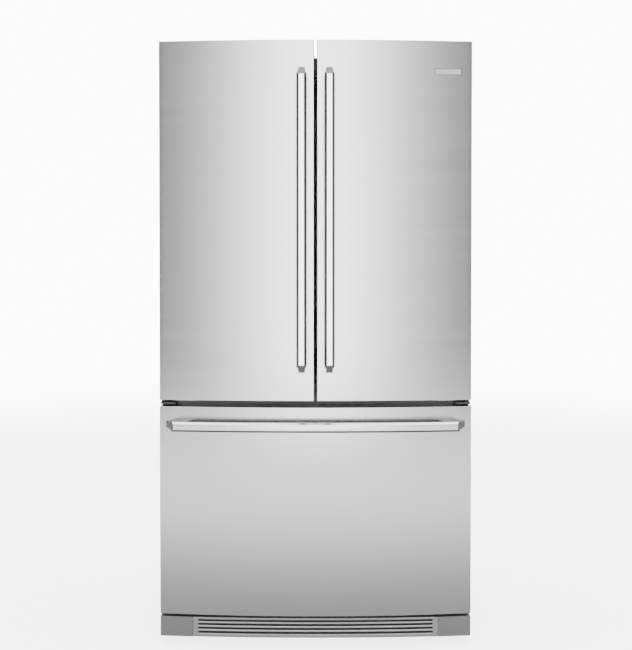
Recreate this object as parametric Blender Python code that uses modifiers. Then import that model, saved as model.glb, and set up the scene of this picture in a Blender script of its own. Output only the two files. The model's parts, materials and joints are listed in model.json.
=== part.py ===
"""French door refrigerator with a bottom freezer drawer, as separate solid pieces.

Metres, +Z up, front towards -Y, +X to the right of a person facing it.
The origin is on the floor, under the middle of the overall box.
Left and right are the sides that this person sees.
"""
from math import cos, pi, radians, sin, sqrt

import bmesh
import bpy
from mathutils import Matrix, Vector

# ------------------------------------------------------------------ driving dimensions
HALF_WIDTH = 0.4525
BACK = 0.3845
CASE_FRONT = -0.2255
CASE_TOP = 1.712
CASE_BOTTOM = 0.060
DOOR_TOP = 1.750
DOOR_BOTTOM = 0.712
DRAWER_TOP = 0.694
DRAWER_BOTTOM = 0.088
KICK_TOP = 0.080
KICK_BOTTOM = 0.022

GAP = 0.0003            # clearance between touching solids
SHEET = 0.001           # steel sheet of the case
LINER = 0.002           # vacuum-formed liner

# Bowed fronts: one large arc runs over both doors, the drawer and the kick grille.
FRONT_CENTRE = -0.3245
FRONT_CORNER = -0.2925
BOW_RADIUS = (HALF_WIDTH ** 2 + (FRONT_CORNER - FRONT_CENTRE) ** 2) / (2 * (FRONT_CORNER - FRONT_CENTRE))
DOOR_BACK = -0.2405     # back of the steel door, where the liner's edge starts
DOOR_SKIN = 0.001       # steel sheet of the doors and the drawer front
LINER_FACE = -0.2375    # face of the door liner that carries the gasket
CENTRE_GAP = 0.004      # half the gap between the doors

# Storage compartments, as openings in the case front.
OPENING_X = 0.4075
FRESH_Z = (0.752, 1.667)
FREEZER_Z = (0.127, 0.655)
COMPARTMENT_BACK = 0.3275
STEP_Y = 0.1425         # the freezer is shallower here, in front of the compressor space
STEP_Z = 0.3127
MACHINE_X = 0.440
MACHINE_Y = 0.170
MACHINE_TOP = 0.298

# Door and drawer liners and gaskets.
GASKET_INSET = 0.015
GASKET_WIDTH = 0.017
DIKE_DEPTH = -0.185     # how far back the ridges of the door liner reach
DIKE_WIDTH = 0.030
DIKE_X = (0.054, 0.398)
DIKE_Z = (0.762, 1.657)
BIN_X = (0.086, 0.366)
BIN_BACK = -0.130

# Door hinges.
HINGE_X = 0.4405
HINGE_Y = -0.2765
PIN_RADIUS = 0.004
PIN_CLEARANCE = 0.0003
RECESS_X = 0.4255
RECESS_FLOOR = 1.710

# Handles: a bar on two posts that spread towards the bar.
HANDLE_REACH = 0.060
DOOR_HANDLE_X = 0.040
DOOR_HANDLE_Z = 1.233
DOOR_HANDLE_HALF = 0.439
DRAWER_HANDLE_Z = 0.643
DRAWER_HANDLE_HALF = 0.434
FOOT_LENGTH = 0.063
FOOT_HALF_WIDTH = 0.0095
POST_INNER = 0.0755     # from the handle's end to the post's inner corner at the bar
# distance out from the door, how much shorter than the foot at each end, half width
BAR_LEVELS = ((0.0405, 0.0176, 0.0105), (0.047, 0.0204, 0.01425), (0.052, 0.0225, 0.01425), (0.060, 0.026, 0.0085))

# Folding mullion on the left door.
MULLION_AXIS = (-0.036, -0.2155)
MULLION_WIDTH = 0.072
MULLION_HALF_DEPTH = 0.010
MULLION_Z = (0.772, 1.640)

# Rollers and legs.
ROLLER_RADIUS = 0.022
ROLLER_POSITION = (0.399, 0.326)
LEG_POSITION = (0.392, -0.190)
BASE_BOTTOM = 0.012

# Freezer slides.
RAIL_Z = (0.385, 0.440)
ARM_Z = (0.405, 0.4345)

# ------------------------------------------------------------------ colours: colour, roughness, metallic
LOOKS = {
    "stainless": ((0.60, 0.60, 0.60), 0.30, 1.0),
    "polished_handle": ((0.78, 0.78, 0.78), 0.18, 1.0),
    "case_paint": ((0.28, 0.28, 0.29), 0.45, 0.0),
    "galvanised": ((0.45, 0.46, 0.47), 0.45, 1.0),
    "foam": ((0.80, 0.70, 0.42), 0.95, 0.0),
    "liner_white": ((0.86, 0.87, 0.87), 0.35, 0.0),
    "kick_grey": ((0.27, 0.27, 0.27), 0.40, 0.3),
    "gasket_grey": ((0.10, 0.10, 0.10), 0.70, 0.0),
    "shelf_glass": ((0.75, 0.85, 0.83), 0.05, 0.0),
    "clear_plastic": ((0.82, 0.86, 0.88), 0.12, 0.0),
    "white_plastic": ((0.80, 0.80, 0.80), 0.40, 0.0),
    "black_plastic": ((0.03, 0.03, 0.03), 0.45, 0.0),
    "black_steel": ((0.02, 0.02, 0.02), 0.35, 0.2),
    "aluminium": ((0.70, 0.71, 0.72), 0.35, 1.0),
    "plate_silver": ((0.62, 0.62, 0.62), 0.25, 1.0),
}


def collection(name):
    group = bpy.data.collections.new(name)
    bpy.context.scene.collection.children.link(group)
    return group


def material(name):
    found = bpy.data.materials.get(name)
    if found:
        return found
    colour, roughness, metallic = LOOKS[name]
    made = bpy.data.materials.new(name)
    made.use_nodes = True
    shader = made.node_tree.nodes["Principled BSDF"]
    shader.inputs["Base Color"].default_value = (*colour, 1.0)
    shader.inputs["Roughness"].default_value = roughness
    shader.inputs["Metallic"].default_value = metallic
    return made


def add(name, mesh, look=None, location=(0, 0, 0)):
    """Link a mesh as one named part, or as a cutter when it has no look."""
    part = bpy.data.objects.new(name, mesh)
    part.location = location
    if look:
        mesh.materials.append(material(look))
        PARTS.objects.link(part)
    else:
        CUTTERS.objects.link(part)
        part.hide_render = True
        part.display_type = "WIRE"
    return part


def box(name, x, y, z, look=None, bevel=0.0):
    """A box between two limits on each axis, with its origin at its centre."""
    low = Vector((min(x), min(y), min(z)))
    high = Vector((max(x), max(y), max(z)))
    cage = bmesh.new()
    bmesh.ops.create_cube(cage, size=1.0)
    bmesh.ops.scale(cage, vec=high - low, verts=cage.verts)
    mesh = bpy.data.meshes.new(name)
    cage.to_mesh(mesh)
    cage.free()
    part = add(name, mesh, look, (low + high) / 2)
    if bevel:
        soften(part, bevel)
    return part


def soften(part, width, segments=1):
    bevel = part.modifiers.new("Edges", "BEVEL")
    bevel.width = width
    bevel.segments = segments
    bevel.limit_method = "ANGLE"
    bevel.angle_limit = radians(30)
    return part


def cylinder(name, radius, start, end, sides=16):
    """A cylinder from one point to another."""
    start, end = Vector(start), Vector(end)
    cage = bmesh.new()
    bmesh.ops.create_cone(cage, cap_ends=True, segments=sides, radius1=radius, radius2=radius,
                          depth=(end - start).length)
    turn = (end - start).to_track_quat("Z", "Y").to_matrix().to_4x4()
    bmesh.ops.transform(cage, matrix=turn, verts=cage.verts)
    mesh = bpy.data.meshes.new(name)
    cage.to_mesh(mesh)
    cage.free()
    round_off(mesh)
    return add(name, mesh, location=(start + end) / 2)


def round_off(mesh):
    for face in mesh.polygons:
        face.use_smooth = True
    mesh.set_sharp_from_angle(angle=radians(40))


# Each plane's local axes: outline x, outline y, thickness.
PLANES = {
    "XY": Matrix(((1, 0, 0, 0), (0, 1, 0, 0), (0, 0, 1, 0), (0, 0, 0, 1))),
    "YZ": Matrix(((0, 0, 1, 0), (1, 0, 0, 0), (0, 1, 0, 0), (0, 0, 0, 1))),
}


def slab(name, outline, limits, plane="XY", look=None, bevel=0.0):
    """A flat outline in one plane, extruded between two limits along the third axis."""
    curve = bpy.data.curves.new(name, "CURVE")
    curve.dimensions = "2D"
    curve.fill_mode = "BOTH"
    curve.extrude = (max(limits) - min(limits)) / 2
    spline = curve.splines.new("POLY")
    spline.points.add(len(outline) - 1)
    for point, (u, v) in zip(spline.points, outline):
        point.co = (u, v, 0, 1)
    spline.use_cyclic_u = True
    mesh = mesh_of_curve(name, curve)
    mesh.transform(PLANES[plane])
    middle = (max(limits) + min(limits)) / 2
    shift = PLANES[plane] @ Vector((0, 0, middle))
    part = add(name, mesh, look, shift)
    if bevel:
        soften(part, bevel)
    return part


def mesh_of_curve(name, curve):
    """Turn a curve into one closed mesh with its caps welded on."""
    guide = bpy.data.objects.new(name + "_guide", curve)
    CUTTERS.objects.link(guide)
    bpy.context.view_layer.update()
    evaluated = guide.evaluated_get(bpy.context.evaluated_depsgraph_get())
    mesh = bpy.data.meshes.new_from_object(evaluated)
    mesh.name = name
    cage = bmesh.new()
    cage.from_mesh(mesh)
    bmesh.ops.remove_doubles(cage, verts=cage.verts, dist=1e-6)
    bmesh.ops.dissolve_limit(cage, angle_limit=radians(0.05), verts=cage.verts, edges=cage.edges)
    bmesh.ops.recalc_face_normals(cage, faces=cage.faces)
    cage.to_mesh(mesh)
    cage.free()
    bpy.data.objects.remove(guide)
    bpy.data.curves.remove(curve)
    return mesh


def tube(name, points, radius, look):
    """A round tube with filled ends along straight stretches between points."""
    curve = bpy.data.curves.new(name, "CURVE")
    curve.dimensions = "3D"
    curve.bevel_depth = radius
    curve.bevel_resolution = 2
    curve.use_fill_caps = True
    spline = curve.splines.new("POLY")
    spline.points.add(len(points) - 1)
    for point, place in zip(spline.points, points):
        point.co = (*place, 1)
    mesh = mesh_of_curve(name, curve)
    round_off(mesh)
    return add(name, mesh, look)


def turned(name, profile, location, look=None, steps=20, axis="Z", closed=False):
    """A profile of (radius, height) points, down its outer side, turned about an axis.

    A closed profile leaves a bore through the middle.
    """
    mesh = bpy.data.meshes.new(name)
    points = [(radius, 0, height) for radius, height in profile]
    links = [(i, i + 1) for i in range(len(points) - 1)]
    if closed:
        links.append((len(points) - 1, 0))
    mesh.from_pydata(points, links, [])
    part = add(name, mesh, look, location)
    spin = part.modifiers.new("Turn", "SCREW")
    spin.steps = steps
    spin.render_steps = steps
    spin.use_merge_vertices = True
    spin.merge_threshold = 0.0001
    if axis == "X":
        part.rotation_euler = (0, pi / 2, 0)
    if axis == "Y":
        part.rotation_euler = (-pi / 2, 0, 0)
    return part


def apply(part):
    """Replace a part's mesh by its evaluated one, in world space."""
    bpy.context.view_layer.update()
    evaluated = part.evaluated_get(bpy.context.evaluated_depsgraph_get())
    mesh = bpy.data.meshes.new_from_object(evaluated)
    mesh.transform(part.matrix_world)
    mesh.transform(Matrix.Translation(-part.location))
    part.modifiers.clear()
    part.rotation_euler = (0, 0, 0)
    part.data = mesh
    return part


def boolean(part, tool, operation):
    step = part.modifiers.new(tool.name, "BOOLEAN")
    step.operation = operation
    step.object = tool
    return part


def cut(part, *tools):
    for tool in tools:
        boolean(part, tool, "DIFFERENCE")
    return part


def join(part, *tools):
    for tool in tools:
        boolean(part, tool, "UNION")
    return part


def ring(name, x, z, y, width, look):
    """A rectangular frame standing in the XZ plane."""
    part = box(name, x, y, z, look)
    inner_x = (min(x) + width, max(x) - width)
    inner_z = (min(z) + width, max(z) - width)
    hole = box(name + "_hole", inner_x, (min(y) - 0.01, max(y) + 0.01), inner_z)
    return cut(part, hole)


def tray(name, x, y, z, wall, look, taper=0.0, rim=0.0, bevel=0.004):
    """An open-topped bin: a cube without its lid, thickened inwards, with an optional rim."""
    low = Vector((min(x), min(y), min(z)))
    high = Vector((max(x), max(y), max(z)))
    cage = bmesh.new()
    bmesh.ops.create_cube(cage, size=1.0)
    bmesh.ops.scale(cage, vec=high - low, verts=cage.verts)
    for corner in cage.verts:
        if corner.co.z < 0:
            corner.co.x -= taper if corner.co.x > 0 else -taper
            corner.co.y -= taper if corner.co.y > 0 else -taper
    lid = max(cage.faces, key=lambda face: face.calc_center_median().z)
    bmesh.ops.delete(cage, geom=[lid], context="FACES_ONLY")
    if rim:
        top = [edge for edge in cage.edges if edge.is_boundary]
        made = bmesh.ops.extrude_edge_only(cage, edges=top)["geom"]
        for corner in (item for item in made if isinstance(item, bmesh.types.BMVert)):
            corner.co.x += rim if corner.co.x > 0 else -rim
            corner.co.y += rim if corner.co.y > 0 else -rim
    mesh = bpy.data.meshes.new(name)
    cage.to_mesh(mesh)
    cage.free()
    part = add(name, mesh, look, (low + high) / 2)
    shell = part.modifiers.new("Wall", "SOLIDIFY")
    shell.thickness = wall
    shell.offset = -1.0
    shell.use_even_offset = True
    if bevel:
        soften(part, min(bevel, wall * 0.3))
    return part


def carrier(name, location):
    """An empty on a joint's axis, which moving pieces hang from."""
    empty = bpy.data.objects.new(name, None)
    empty.location = location
    PARTS.objects.link(empty)
    return empty


def hang(empty, *parts):
    for part in parts:
        part.parent = empty
        part.matrix_parent_inverse = Matrix.Translation(-Vector(empty.location))


def bow(x, centre=FRONT_CENTRE, radius=BOW_RADIUS):
    """The y of the bowed front at a place across the width."""
    return centre + radius - sqrt(radius ** 2 - x ** 2)


def spaced(start, end, count):
    return [start + (end - start) * i / count for i in range(count + 1)]


def bowed_outline(x_start, x_end, back, count, centre=FRONT_CENTRE, radius=BOW_RADIUS):
    """A plan view with a straight back and the bowed front."""
    front = [(x, bow(x, centre, radius)) for x in spaced(x_start, x_end, count)]
    return front + [(x_end, back), (x_start, back)]


def mirrored(outline, side):
    return [(side * x, y) for x, y in outline]


def bowed_core(name, x_start, x_end, back, z, count, inset, side=1, look=None, bevel=0.0):
    """A bowed block whose front, sides and ends lie inside the outer surface by an inset."""
    plan = bowed_outline(x_start + inset, x_end - inset, back, count, FRONT_CENTRE + inset, BOW_RADIUS - inset)
    return slab(name, mirrored(plan, side), (z[0] + inset, z[1] - inset), "XY", look, bevel)


# ------------------------------------------------------------------ case
def cabinet_shell():
    """Painted steel wrapper: sides, top and the front flange around both openings."""
    shell = box("cabinet_shell", (-HALF_WIDTH, HALF_WIDTH), (CASE_FRONT, BACK), (CASE_BOTTOM, CASE_TOP),
                "case_paint")
    inside = box("shell_inside", (-HALF_WIDTH + SHEET, HALF_WIDTH - SHEET), (CASE_FRONT + SHEET, BACK + 0.01),
                 (CASE_BOTTOM - 0.01, CASE_TOP - SHEET))
    cut(shell, inside)
    for name, limits in (("fresh", FRESH_Z), ("freezer", FREEZER_Z)):
        cut(shell, box("shell_" + name, (-OPENING_X, OPENING_X), (CASE_FRONT - 0.01, CASE_FRONT + 0.01), limits))


def freezer_profile(margin, front):
    """Side view of the freezer: deep above, shallower in front of the compressor space."""
    low = FREEZER_Z[0] + margin
    high = FREEZER_Z[1] - margin
    deep = COMPARTMENT_BACK - margin
    return [(front, low), (STEP_Y - margin, low), (STEP_Y - margin, STEP_Z + margin),
            (deep, STEP_Z + margin), (deep, high), (front, high)]


def cabinet_insulation():
    """Foam between the wrapper and the liners, with the compressor space cut out at the back."""
    side = HALF_WIDTH - SHEET - GAP
    foam = box("cabinet_insulation", (-side, side), (CASE_FRONT + SHEET + GAP, BACK - SHEET - 2 * GAP),
               (CASE_BOTTOM + GAP, CASE_TOP - SHEET - GAP), "foam")
    fresh = box("foam_fresh", (-OPENING_X, OPENING_X), (CASE_FRONT - 0.05, COMPARTMENT_BACK), FRESH_Z)
    freezer = slab("foam_freezer", freezer_profile(0, CASE_FRONT - 0.05), (-OPENING_X, OPENING_X), "YZ")
    machine = box("foam_machine", (-MACHINE_X, MACHINE_X), (MACHINE_Y, BACK + 0.05), (0, MACHINE_TOP))
    cut(foam, fresh, freezer, machine)


def liners():
    """Vacuum-formed compartment liners, open at the front."""
    x_out = OPENING_X - GAP
    x_in = x_out - LINER
    fresh = box("fresh_food_liner", (-x_out, x_out), (CASE_FRONT, COMPARTMENT_BACK - GAP),
                (FRESH_Z[0] + GAP, FRESH_Z[1] - GAP), "liner_white")
    fresh_inside = box("fresh_inside", (-x_in, x_in), (CASE_FRONT - 0.05, COMPARTMENT_BACK - GAP - LINER),
                       (FRESH_Z[0] + GAP + LINER, FRESH_Z[1] - GAP - LINER))
    cut(fresh, fresh_inside)
    freezer = slab("freezer_liner", freezer_profile(GAP, CASE_FRONT), (-x_out, x_out), "YZ", "liner_white")
    freezer_inside = slab("freezer_inside", freezer_profile(GAP + LINER, CASE_FRONT - 0.05), (-x_in, x_in), "YZ")
    cut(freezer, freezer_inside)


def back_covers():
    """Plain rear panel above, louvred cover of the compressor space below."""
    side = HALF_WIDTH - SHEET - GAP
    depth = (BACK - SHEET - GAP + 0.0001, BACK)
    box("rear_panel", (-side, side), depth, (MACHINE_TOP + 0.002, CASE_TOP - SHEET - GAP), "galvanised")
    cover = box("machine_cover", (-side, side), depth, (CASE_BOTTOM + GAP, MACHINE_TOP + 0.001), "black_steel")
    for row, height in enumerate((0.105, 0.140, 0.175, 0.210, 0.245)):
        for column, centre in enumerate((-0.27, 0.0, 0.27)):
            slot = box(f"cover_slot_{row}_{column}", (centre - 0.10, centre + 0.10), (BACK - 0.01, BACK + 0.01),
                       (height - 0.005, height + 0.005))
            cut(cover, slot)


def base_frame():
    """Chassis under the case: front rail with leg threads, side rails, rear tray, roller wells."""
    top = CASE_BOTTOM - GAP
    frame = box("base_frame", (-0.4512, 0.4512), (-0.2235, 0.3825), (BASE_BOTTOM, top), "galvanised")
    cut(frame, box("base_middle", (-0.395, 0.395), (-0.150, 0.160), (0, 0.07)))
    cut(frame, box("base_tray", (-0.360, 0.360), (0.168, 0.375), (0, top - 0.0015)))
    x, y = ROLLER_POSITION
    for side in (-1, 1):
        well = box(f"well_{side}", (side * (x - 0.015), side * (x + 0.015)), (y - 0.027, y + 0.027), (0, 0.0485))
        axle = cylinder(f"axle_{side}", PIN_RADIUS, (side * (x - 0.020), y, ROLLER_RADIUS),
                        (side * (x + 0.020), y, ROLLER_RADIUS), sides=12)
        thread = cylinder(f"thread_{side}", 0.0063, (side * LEG_POSITION[0], LEG_POSITION[1], 0),
                          (side * LEG_POSITION[0], LEG_POSITION[1], 0.07), sides=12)
        cut(frame, well)
        join(frame, axle)
        cut(frame, thread)


def kick():
    """Bowed kick plate: louvred grille between two plain corner blocks."""
    centre = -0.3125
    sagitta = 0.022
    radius = (HALF_WIDTH ** 2 + sagitta ** 2) / (2 * sagitta)
    half = 0.3565
    front = [(x, bow(x, centre, radius)) for x in spaced(-half, half, 12)]
    rear = [(x, y + 0.014) for x, y in reversed(front)]
    grille = slab("toe_grille", front + rear, (KICK_BOTTOM, KICK_TOP), "XY", "kick_grey")
    for row in range(4):
        middle = 0.070 - 0.0115 * row
        cut(grille, box(f"slot_{row}", (-0.341, 0.341), (-0.33, -0.27), (middle - 0.00275, middle + 0.00275)))
    for side, name in ((-1, "left"), (1, "right")):
        plan = bowed_outline(half + 0.0005, HALF_WIDTH, CASE_FRONT - 0.0007, 3, centre, radius)
        slab("grille_end_" + name, mirrored(plan, side), (KICK_BOTTOM, KICK_TOP), "XY", "kick_grey", bevel=0.004)


def supports():
    """Front levelling legs and rear rollers."""
    foot = [(0, 0.057), (0.006, 0.057), (0.006, 0.011), (0.010, 0.011), (0.010, 0.006), (0.019, 0.004),
            (0.019, 0), (0, 0)]
    bore = PIN_RADIUS + PIN_CLEARANCE
    tread = [(bore, 0.0120), (0.012, 0.0120), (0.014, 0.0110), (ROLLER_RADIUS - 0.001, 0.0110),
             (ROLLER_RADIUS, 0.0095), (ROLLER_RADIUS, -0.0095), (ROLLER_RADIUS - 0.001, -0.0110),
             (0.014, -0.0110), (0.012, -0.0120), (bore, -0.0120)]
    for side, name in ((-1, "left"), (1, "right")):
        turned("leveling_leg_" + name, foot, (side * LEG_POSITION[0], LEG_POSITION[1], 0), "galvanised", 16)
        turned("rear_roller_" + name, tread, (side * ROLLER_POSITION[0], ROLLER_POSITION[1], ROLLER_RADIUS),
               "black_plastic", 24, "X", closed=True)


# ------------------------------------------------------------------ hinges
def upper_hinges():
    """Plates on the case top whose narrow arms reach over the doors' corner recesses."""
    bottom = CASE_TOP + GAP
    for side, name in ((-1, "left"), (1, "right")):
        tip = [(HINGE_X + 0.005 * cos(a), HINGE_Y + 0.005 * sin(a)) for a in (pi * i / 6 for i in range(6, 13))]
        plan = tip + [(HINGE_X + 0.005, -0.2245), (0.449, -0.2205), (0.449, -0.150), (0.385, -0.150),
                      (0.385, -0.2105), (0.395, -0.2205), (HINGE_X - 0.005, -0.2245)]
        plate = slab("upper_hinge_" + name, mirrored(plan, side), (bottom, bottom + 0.006), "XY", "galvanised")
        pin = cylinder(f"upper_pin_{name}", PIN_RADIUS, (side * HINGE_X, HINGE_Y, 1.694),
                       (side * HINGE_X, HINGE_Y, bottom + 0.0075), sides=12)
        join(plate, pin)


def center_hinges():
    """Angle brackets on the case front between the doors and the drawer."""
    arm = (0.7000, 0.7055)
    face = CASE_FRONT - GAP
    for side, name in ((-1, "left"), (1, "right")):
        bracket = box("center_hinge_" + name, (side * 0.408, side * 0.4505), (-0.2885, face), arm, "galvanised")
        flange = box(f"flange_{name}", (side * 0.408, side * 0.4500), (face - 0.0027, face - 0.00001),
                     (0.682, 0.724))
        bush = cylinder(f"bush_{name}", 0.008, (side * HINGE_X, HINGE_Y, arm[0] + 0.002),
                        (side * HINGE_X, HINGE_Y, 0.7115), sides=12)
        pin = cylinder(f"lower_pin_{name}", PIN_RADIUS, (side * HINGE_X, HINGE_Y, arm[0] + 0.001),
                       (side * HINGE_X, HINGE_Y, 0.724), sides=12)
        join(bracket, flange, bush, pin)


# ------------------------------------------------------------------ doors
def hinge_cuts(name, side):
    """The top corner recess that clears the hinge arm, and the bores for both pins."""
    recess = box(name + "_recess", (side * RECESS_X, side * 0.47), (-0.2875, -0.23), (RECESS_FLOOR, 1.76))
    bores = [cylinder(f"{name}_bore_{i}", PIN_RADIUS + PIN_CLEARANCE, (side * HINGE_X, HINGE_Y, low),
                      (side * HINGE_X, HINGE_Y, high), sides=12)
             for i, (low, high) in enumerate(((0.70, 0.726), (1.692, 1.72)))]
    return recess, *bores


def door_panel(name, side):
    """Bowed steel skin that wraps the front, sides, top and bottom of the door."""
    limits = (DOOR_BOTTOM, DOOR_TOP)
    panel = bowed_core(name + "_door_panel", CENTRE_GAP, HALF_WIDTH, DOOR_BACK - GAP, limits, 9, 0, side,
                       "stainless", bevel=0.0012)
    inside = bowed_core(name + "_panel_inside", CENTRE_GAP, HALF_WIDTH, DOOR_BACK + 0.02, limits, 9, DOOR_SKIN, side)
    return cut(panel, inside, *hinge_cuts(name + "_panel", side))


def door_liner(name, side):
    """Liner and foam core in one: edge plate, filling behind the skin, ridge around the bins' pocket."""
    core = bowed_core(name + "_door_liner", CENTRE_GAP, HALF_WIDTH, DOOR_BACK + 0.001, (DOOR_BOTTOM, DOOR_TOP), 9,
                      DOOR_SKIN + GAP, side, "liner_white")
    plate = box(name + "_plate", (side * 0.0065, side * 0.4505), (DOOR_BACK, LINER_FACE),
                (DOOR_BOTTOM + 0.002, DOOR_TOP - 0.002))
    ridge = box(name + "_ridge", (side * DIKE_X[0], side * DIKE_X[1]), (DOOR_BACK + 0.0005, DIKE_DEPTH), DIKE_Z)
    pocket = box(name + "_pocket", (side * (DIKE_X[0] + DIKE_WIDTH), side * (DIKE_X[1] - DIKE_WIDTH)),
                 (LINER_FACE, DIKE_DEPTH + 0.01), (DIKE_Z[0] + DIKE_WIDTH, DIKE_Z[1] - DIKE_WIDTH))
    soften(ridge, 0.004)
    join(core, plate, ridge)
    return cut(core, pocket, *hinge_cuts(name + "_liner", side))


def mullion_brackets(liner):
    """Two lugs with pins on the left liner, which the folding mullion turns on."""
    x, y = MULLION_AXIS
    for end, level, inward in (("low", MULLION_Z[0] - 0.0065, 1), ("high", MULLION_Z[1] + 0.0005, -1)):
        lug = box(f"lug_{end}", (-0.060, x + 0.009), (y - 0.009, y + 0.009), (level, level + 0.006))
        tip = MULLION_Z[0] + 0.008 if inward > 0 else MULLION_Z[1] - 0.008
        pin = cylinder(f"lug_pin_{end}", 0.003, (x, y, level + 0.003), (x, y, tip), sides=8)
        join(liner, lug, pin)


def flip_mullion():
    """Vertical bar folded back behind the left door's free edge; it turns out to span the centre gap."""
    x, y = MULLION_AXIS
    bar = box("flip_mullion", (x - MULLION_HALF_DEPTH, x + MULLION_HALF_DEPTH), (y, y + MULLION_WIDTH),
              MULLION_Z, "black_plastic")
    for end, low in (("low", MULLION_Z[0] - 0.005), ("high", MULLION_Z[1] - 0.010)):
        cut(bar, cylinder(f"mullion_bore_{end}", 0.0034, (x, y, low), (x, y, low + 0.015), sides=8))
    return bar


def staple_handle(name, half_length, bend, count):
    """A bar on two posts, lofted as one skin from the mounting faces out to the front.

    bend(s, w, d) places a point: s along the handle, w across it, d out from the door.
    """
    inner = half_length - POST_INNER
    middle = spaced(-inner, inner, count)
    rows = [[-half_length + inset] + middle + [half_length - inset] for _, inset, _ in BAR_LEVELS]
    cage = bmesh.new()

    def pair(s, width, reach):
        return [cage.verts.new(bend(s, w, reach)) for w in (-width, width)]

    bar = [[pair(s, width, reach) for s in row] for row, (reach, _, width) in zip(rows, BAR_LEVELS)]
    for lower, upper in zip(bar, bar[1:]):
        for side in (0, 1):
            for a, b, c, d in zip(lower, lower[1:], upper[1:], upper):
                cage.faces.new([a[side], b[side], c[side], d[side]])
        for end in (0, -1):
            cage.faces.new([*lower[end], *reversed(upper[end])])
    for a, b in zip(bar[-1], bar[-1][1:]):
        cage.faces.new([*a, *reversed(b)])
    for a, b in zip(bar[0][1:-1], bar[0][2:-1]):
        cage.faces.new([*a, *reversed(b)])
    for sign, outer, inner_pair in ((-1, bar[0][0], bar[0][1]), (1, bar[0][-1], bar[0][-2])):
        foot_out = pair(sign * half_length, FOOT_HALF_WIDTH, 0)
        foot_in = pair(sign * (half_length - FOOT_LENGTH), FOOT_HALF_WIDTH, 0)
        cage.faces.new([*foot_out, *reversed(outer)])
        cage.faces.new([*foot_in, *reversed(inner_pair)])
        cage.faces.new([*foot_out, *reversed(foot_in)])
        for side in (0, 1):
            cage.faces.new([foot_out[side], foot_in[side], inner_pair[side], outer[side]])
    bmesh.ops.recalc_face_normals(cage, faces=cage.faces)
    mesh = bpy.data.meshes.new(name)
    cage.to_mesh(mesh)
    cage.free()
    return add(name, mesh, "polished_handle")


def door_handle(name, side):
    surface = bow(DOOR_HANDLE_X - FOOT_HALF_WIDTH) - GAP
    reach_scale = (surface - (FRONT_CENTRE - HANDLE_REACH)) / HANDLE_REACH

    def bend(s, w, d):
        return (side * DOOR_HANDLE_X + w, surface - d * reach_scale, DOOR_HANDLE_Z + s)

    return staple_handle(name + "_door_handle", DOOR_HANDLE_HALF, bend, 1)


def door_gasket(name, side):
    return ring(name + "_door_gasket", (side * (CENTRE_GAP + GASKET_INSET), side * (HALF_WIDTH - GASKET_INSET)),
                (DOOR_BOTTOM + GASKET_INSET, 1.694), (LINER_FACE + GAP, CASE_FRONT - GAP), GASKET_WIDTH,
                "gasket_grey")


def door_bin(name, side, low, high):
    """A moulded storage bin between the liner's ridges."""
    return tray(name, (side * BIN_X[0], side * BIN_X[1]), (LINER_FACE + 0.001, BIN_BACK), (low, high), 0.0025,
                "clear_plastic", taper=0.004)


def left_door():
    hinge = carrier("left_door_axis", (-HINGE_X, HINGE_Y, DOOR_BOTTOM))
    liner = door_liner("left", -1)
    mullion_brackets(liner)
    hang(hinge, door_panel("left", -1), liner, door_gasket("left", -1), door_handle("left", -1),
         door_bin("left_bin_upper", -1, 1.225, 1.340), door_bin("left_bin_lower", -1, 0.990, 1.125),
         door_bin("dairy_box", -1, 1.415, 1.525))
    fold = carrier("mullion_axis", (*MULLION_AXIS, MULLION_Z[0]))
    hang(fold, flip_mullion())
    lid_profile = [(-0.0005, -0.0012), (0.0885, -0.0012), (0.0885, -0.030), (0.0910, -0.030), (0.0910, 0.0013),
                   (-0.0005, 0.0013)]
    lid = slab("dairy_lid", lid_profile, (-0.1395, 0.1395), "YZ", "clear_plastic")
    lid.location = (-(BIN_X[0] + BIN_X[1]) / 2, -0.2180, 1.5265)


def right_door():
    hinge = carrier("right_door_axis", (HINGE_X, HINGE_Y, DOOR_BOTTOM))
    hang(hinge, door_panel("right", 1), door_liner("right", 1), door_gasket("right", 1), door_handle("right", 1),
         door_bin("right_bin_upper", 1, 1.360, 1.480), door_bin("right_bin_lower", 1, 1.040, 1.180), nameplate())


def nameplate():
    """Plain badge plate, lying tangent to the bowed door."""
    x = 0.3816
    plate = box("nameplate", (-0.039, 0.039), (-0.0023, -GAP), (1.652, 1.670), "plate_silver", bevel=0.0005)
    angle = x / BOW_RADIUS
    away = Matrix.Rotation(angle, 4, "Z") @ Vector((0, plate.location.y, 0))
    plate.rotation_euler = (0, 0, angle)
    plate.location = (x + away.x, bow(x) + away.y, plate.location.z)
    return plate


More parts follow.
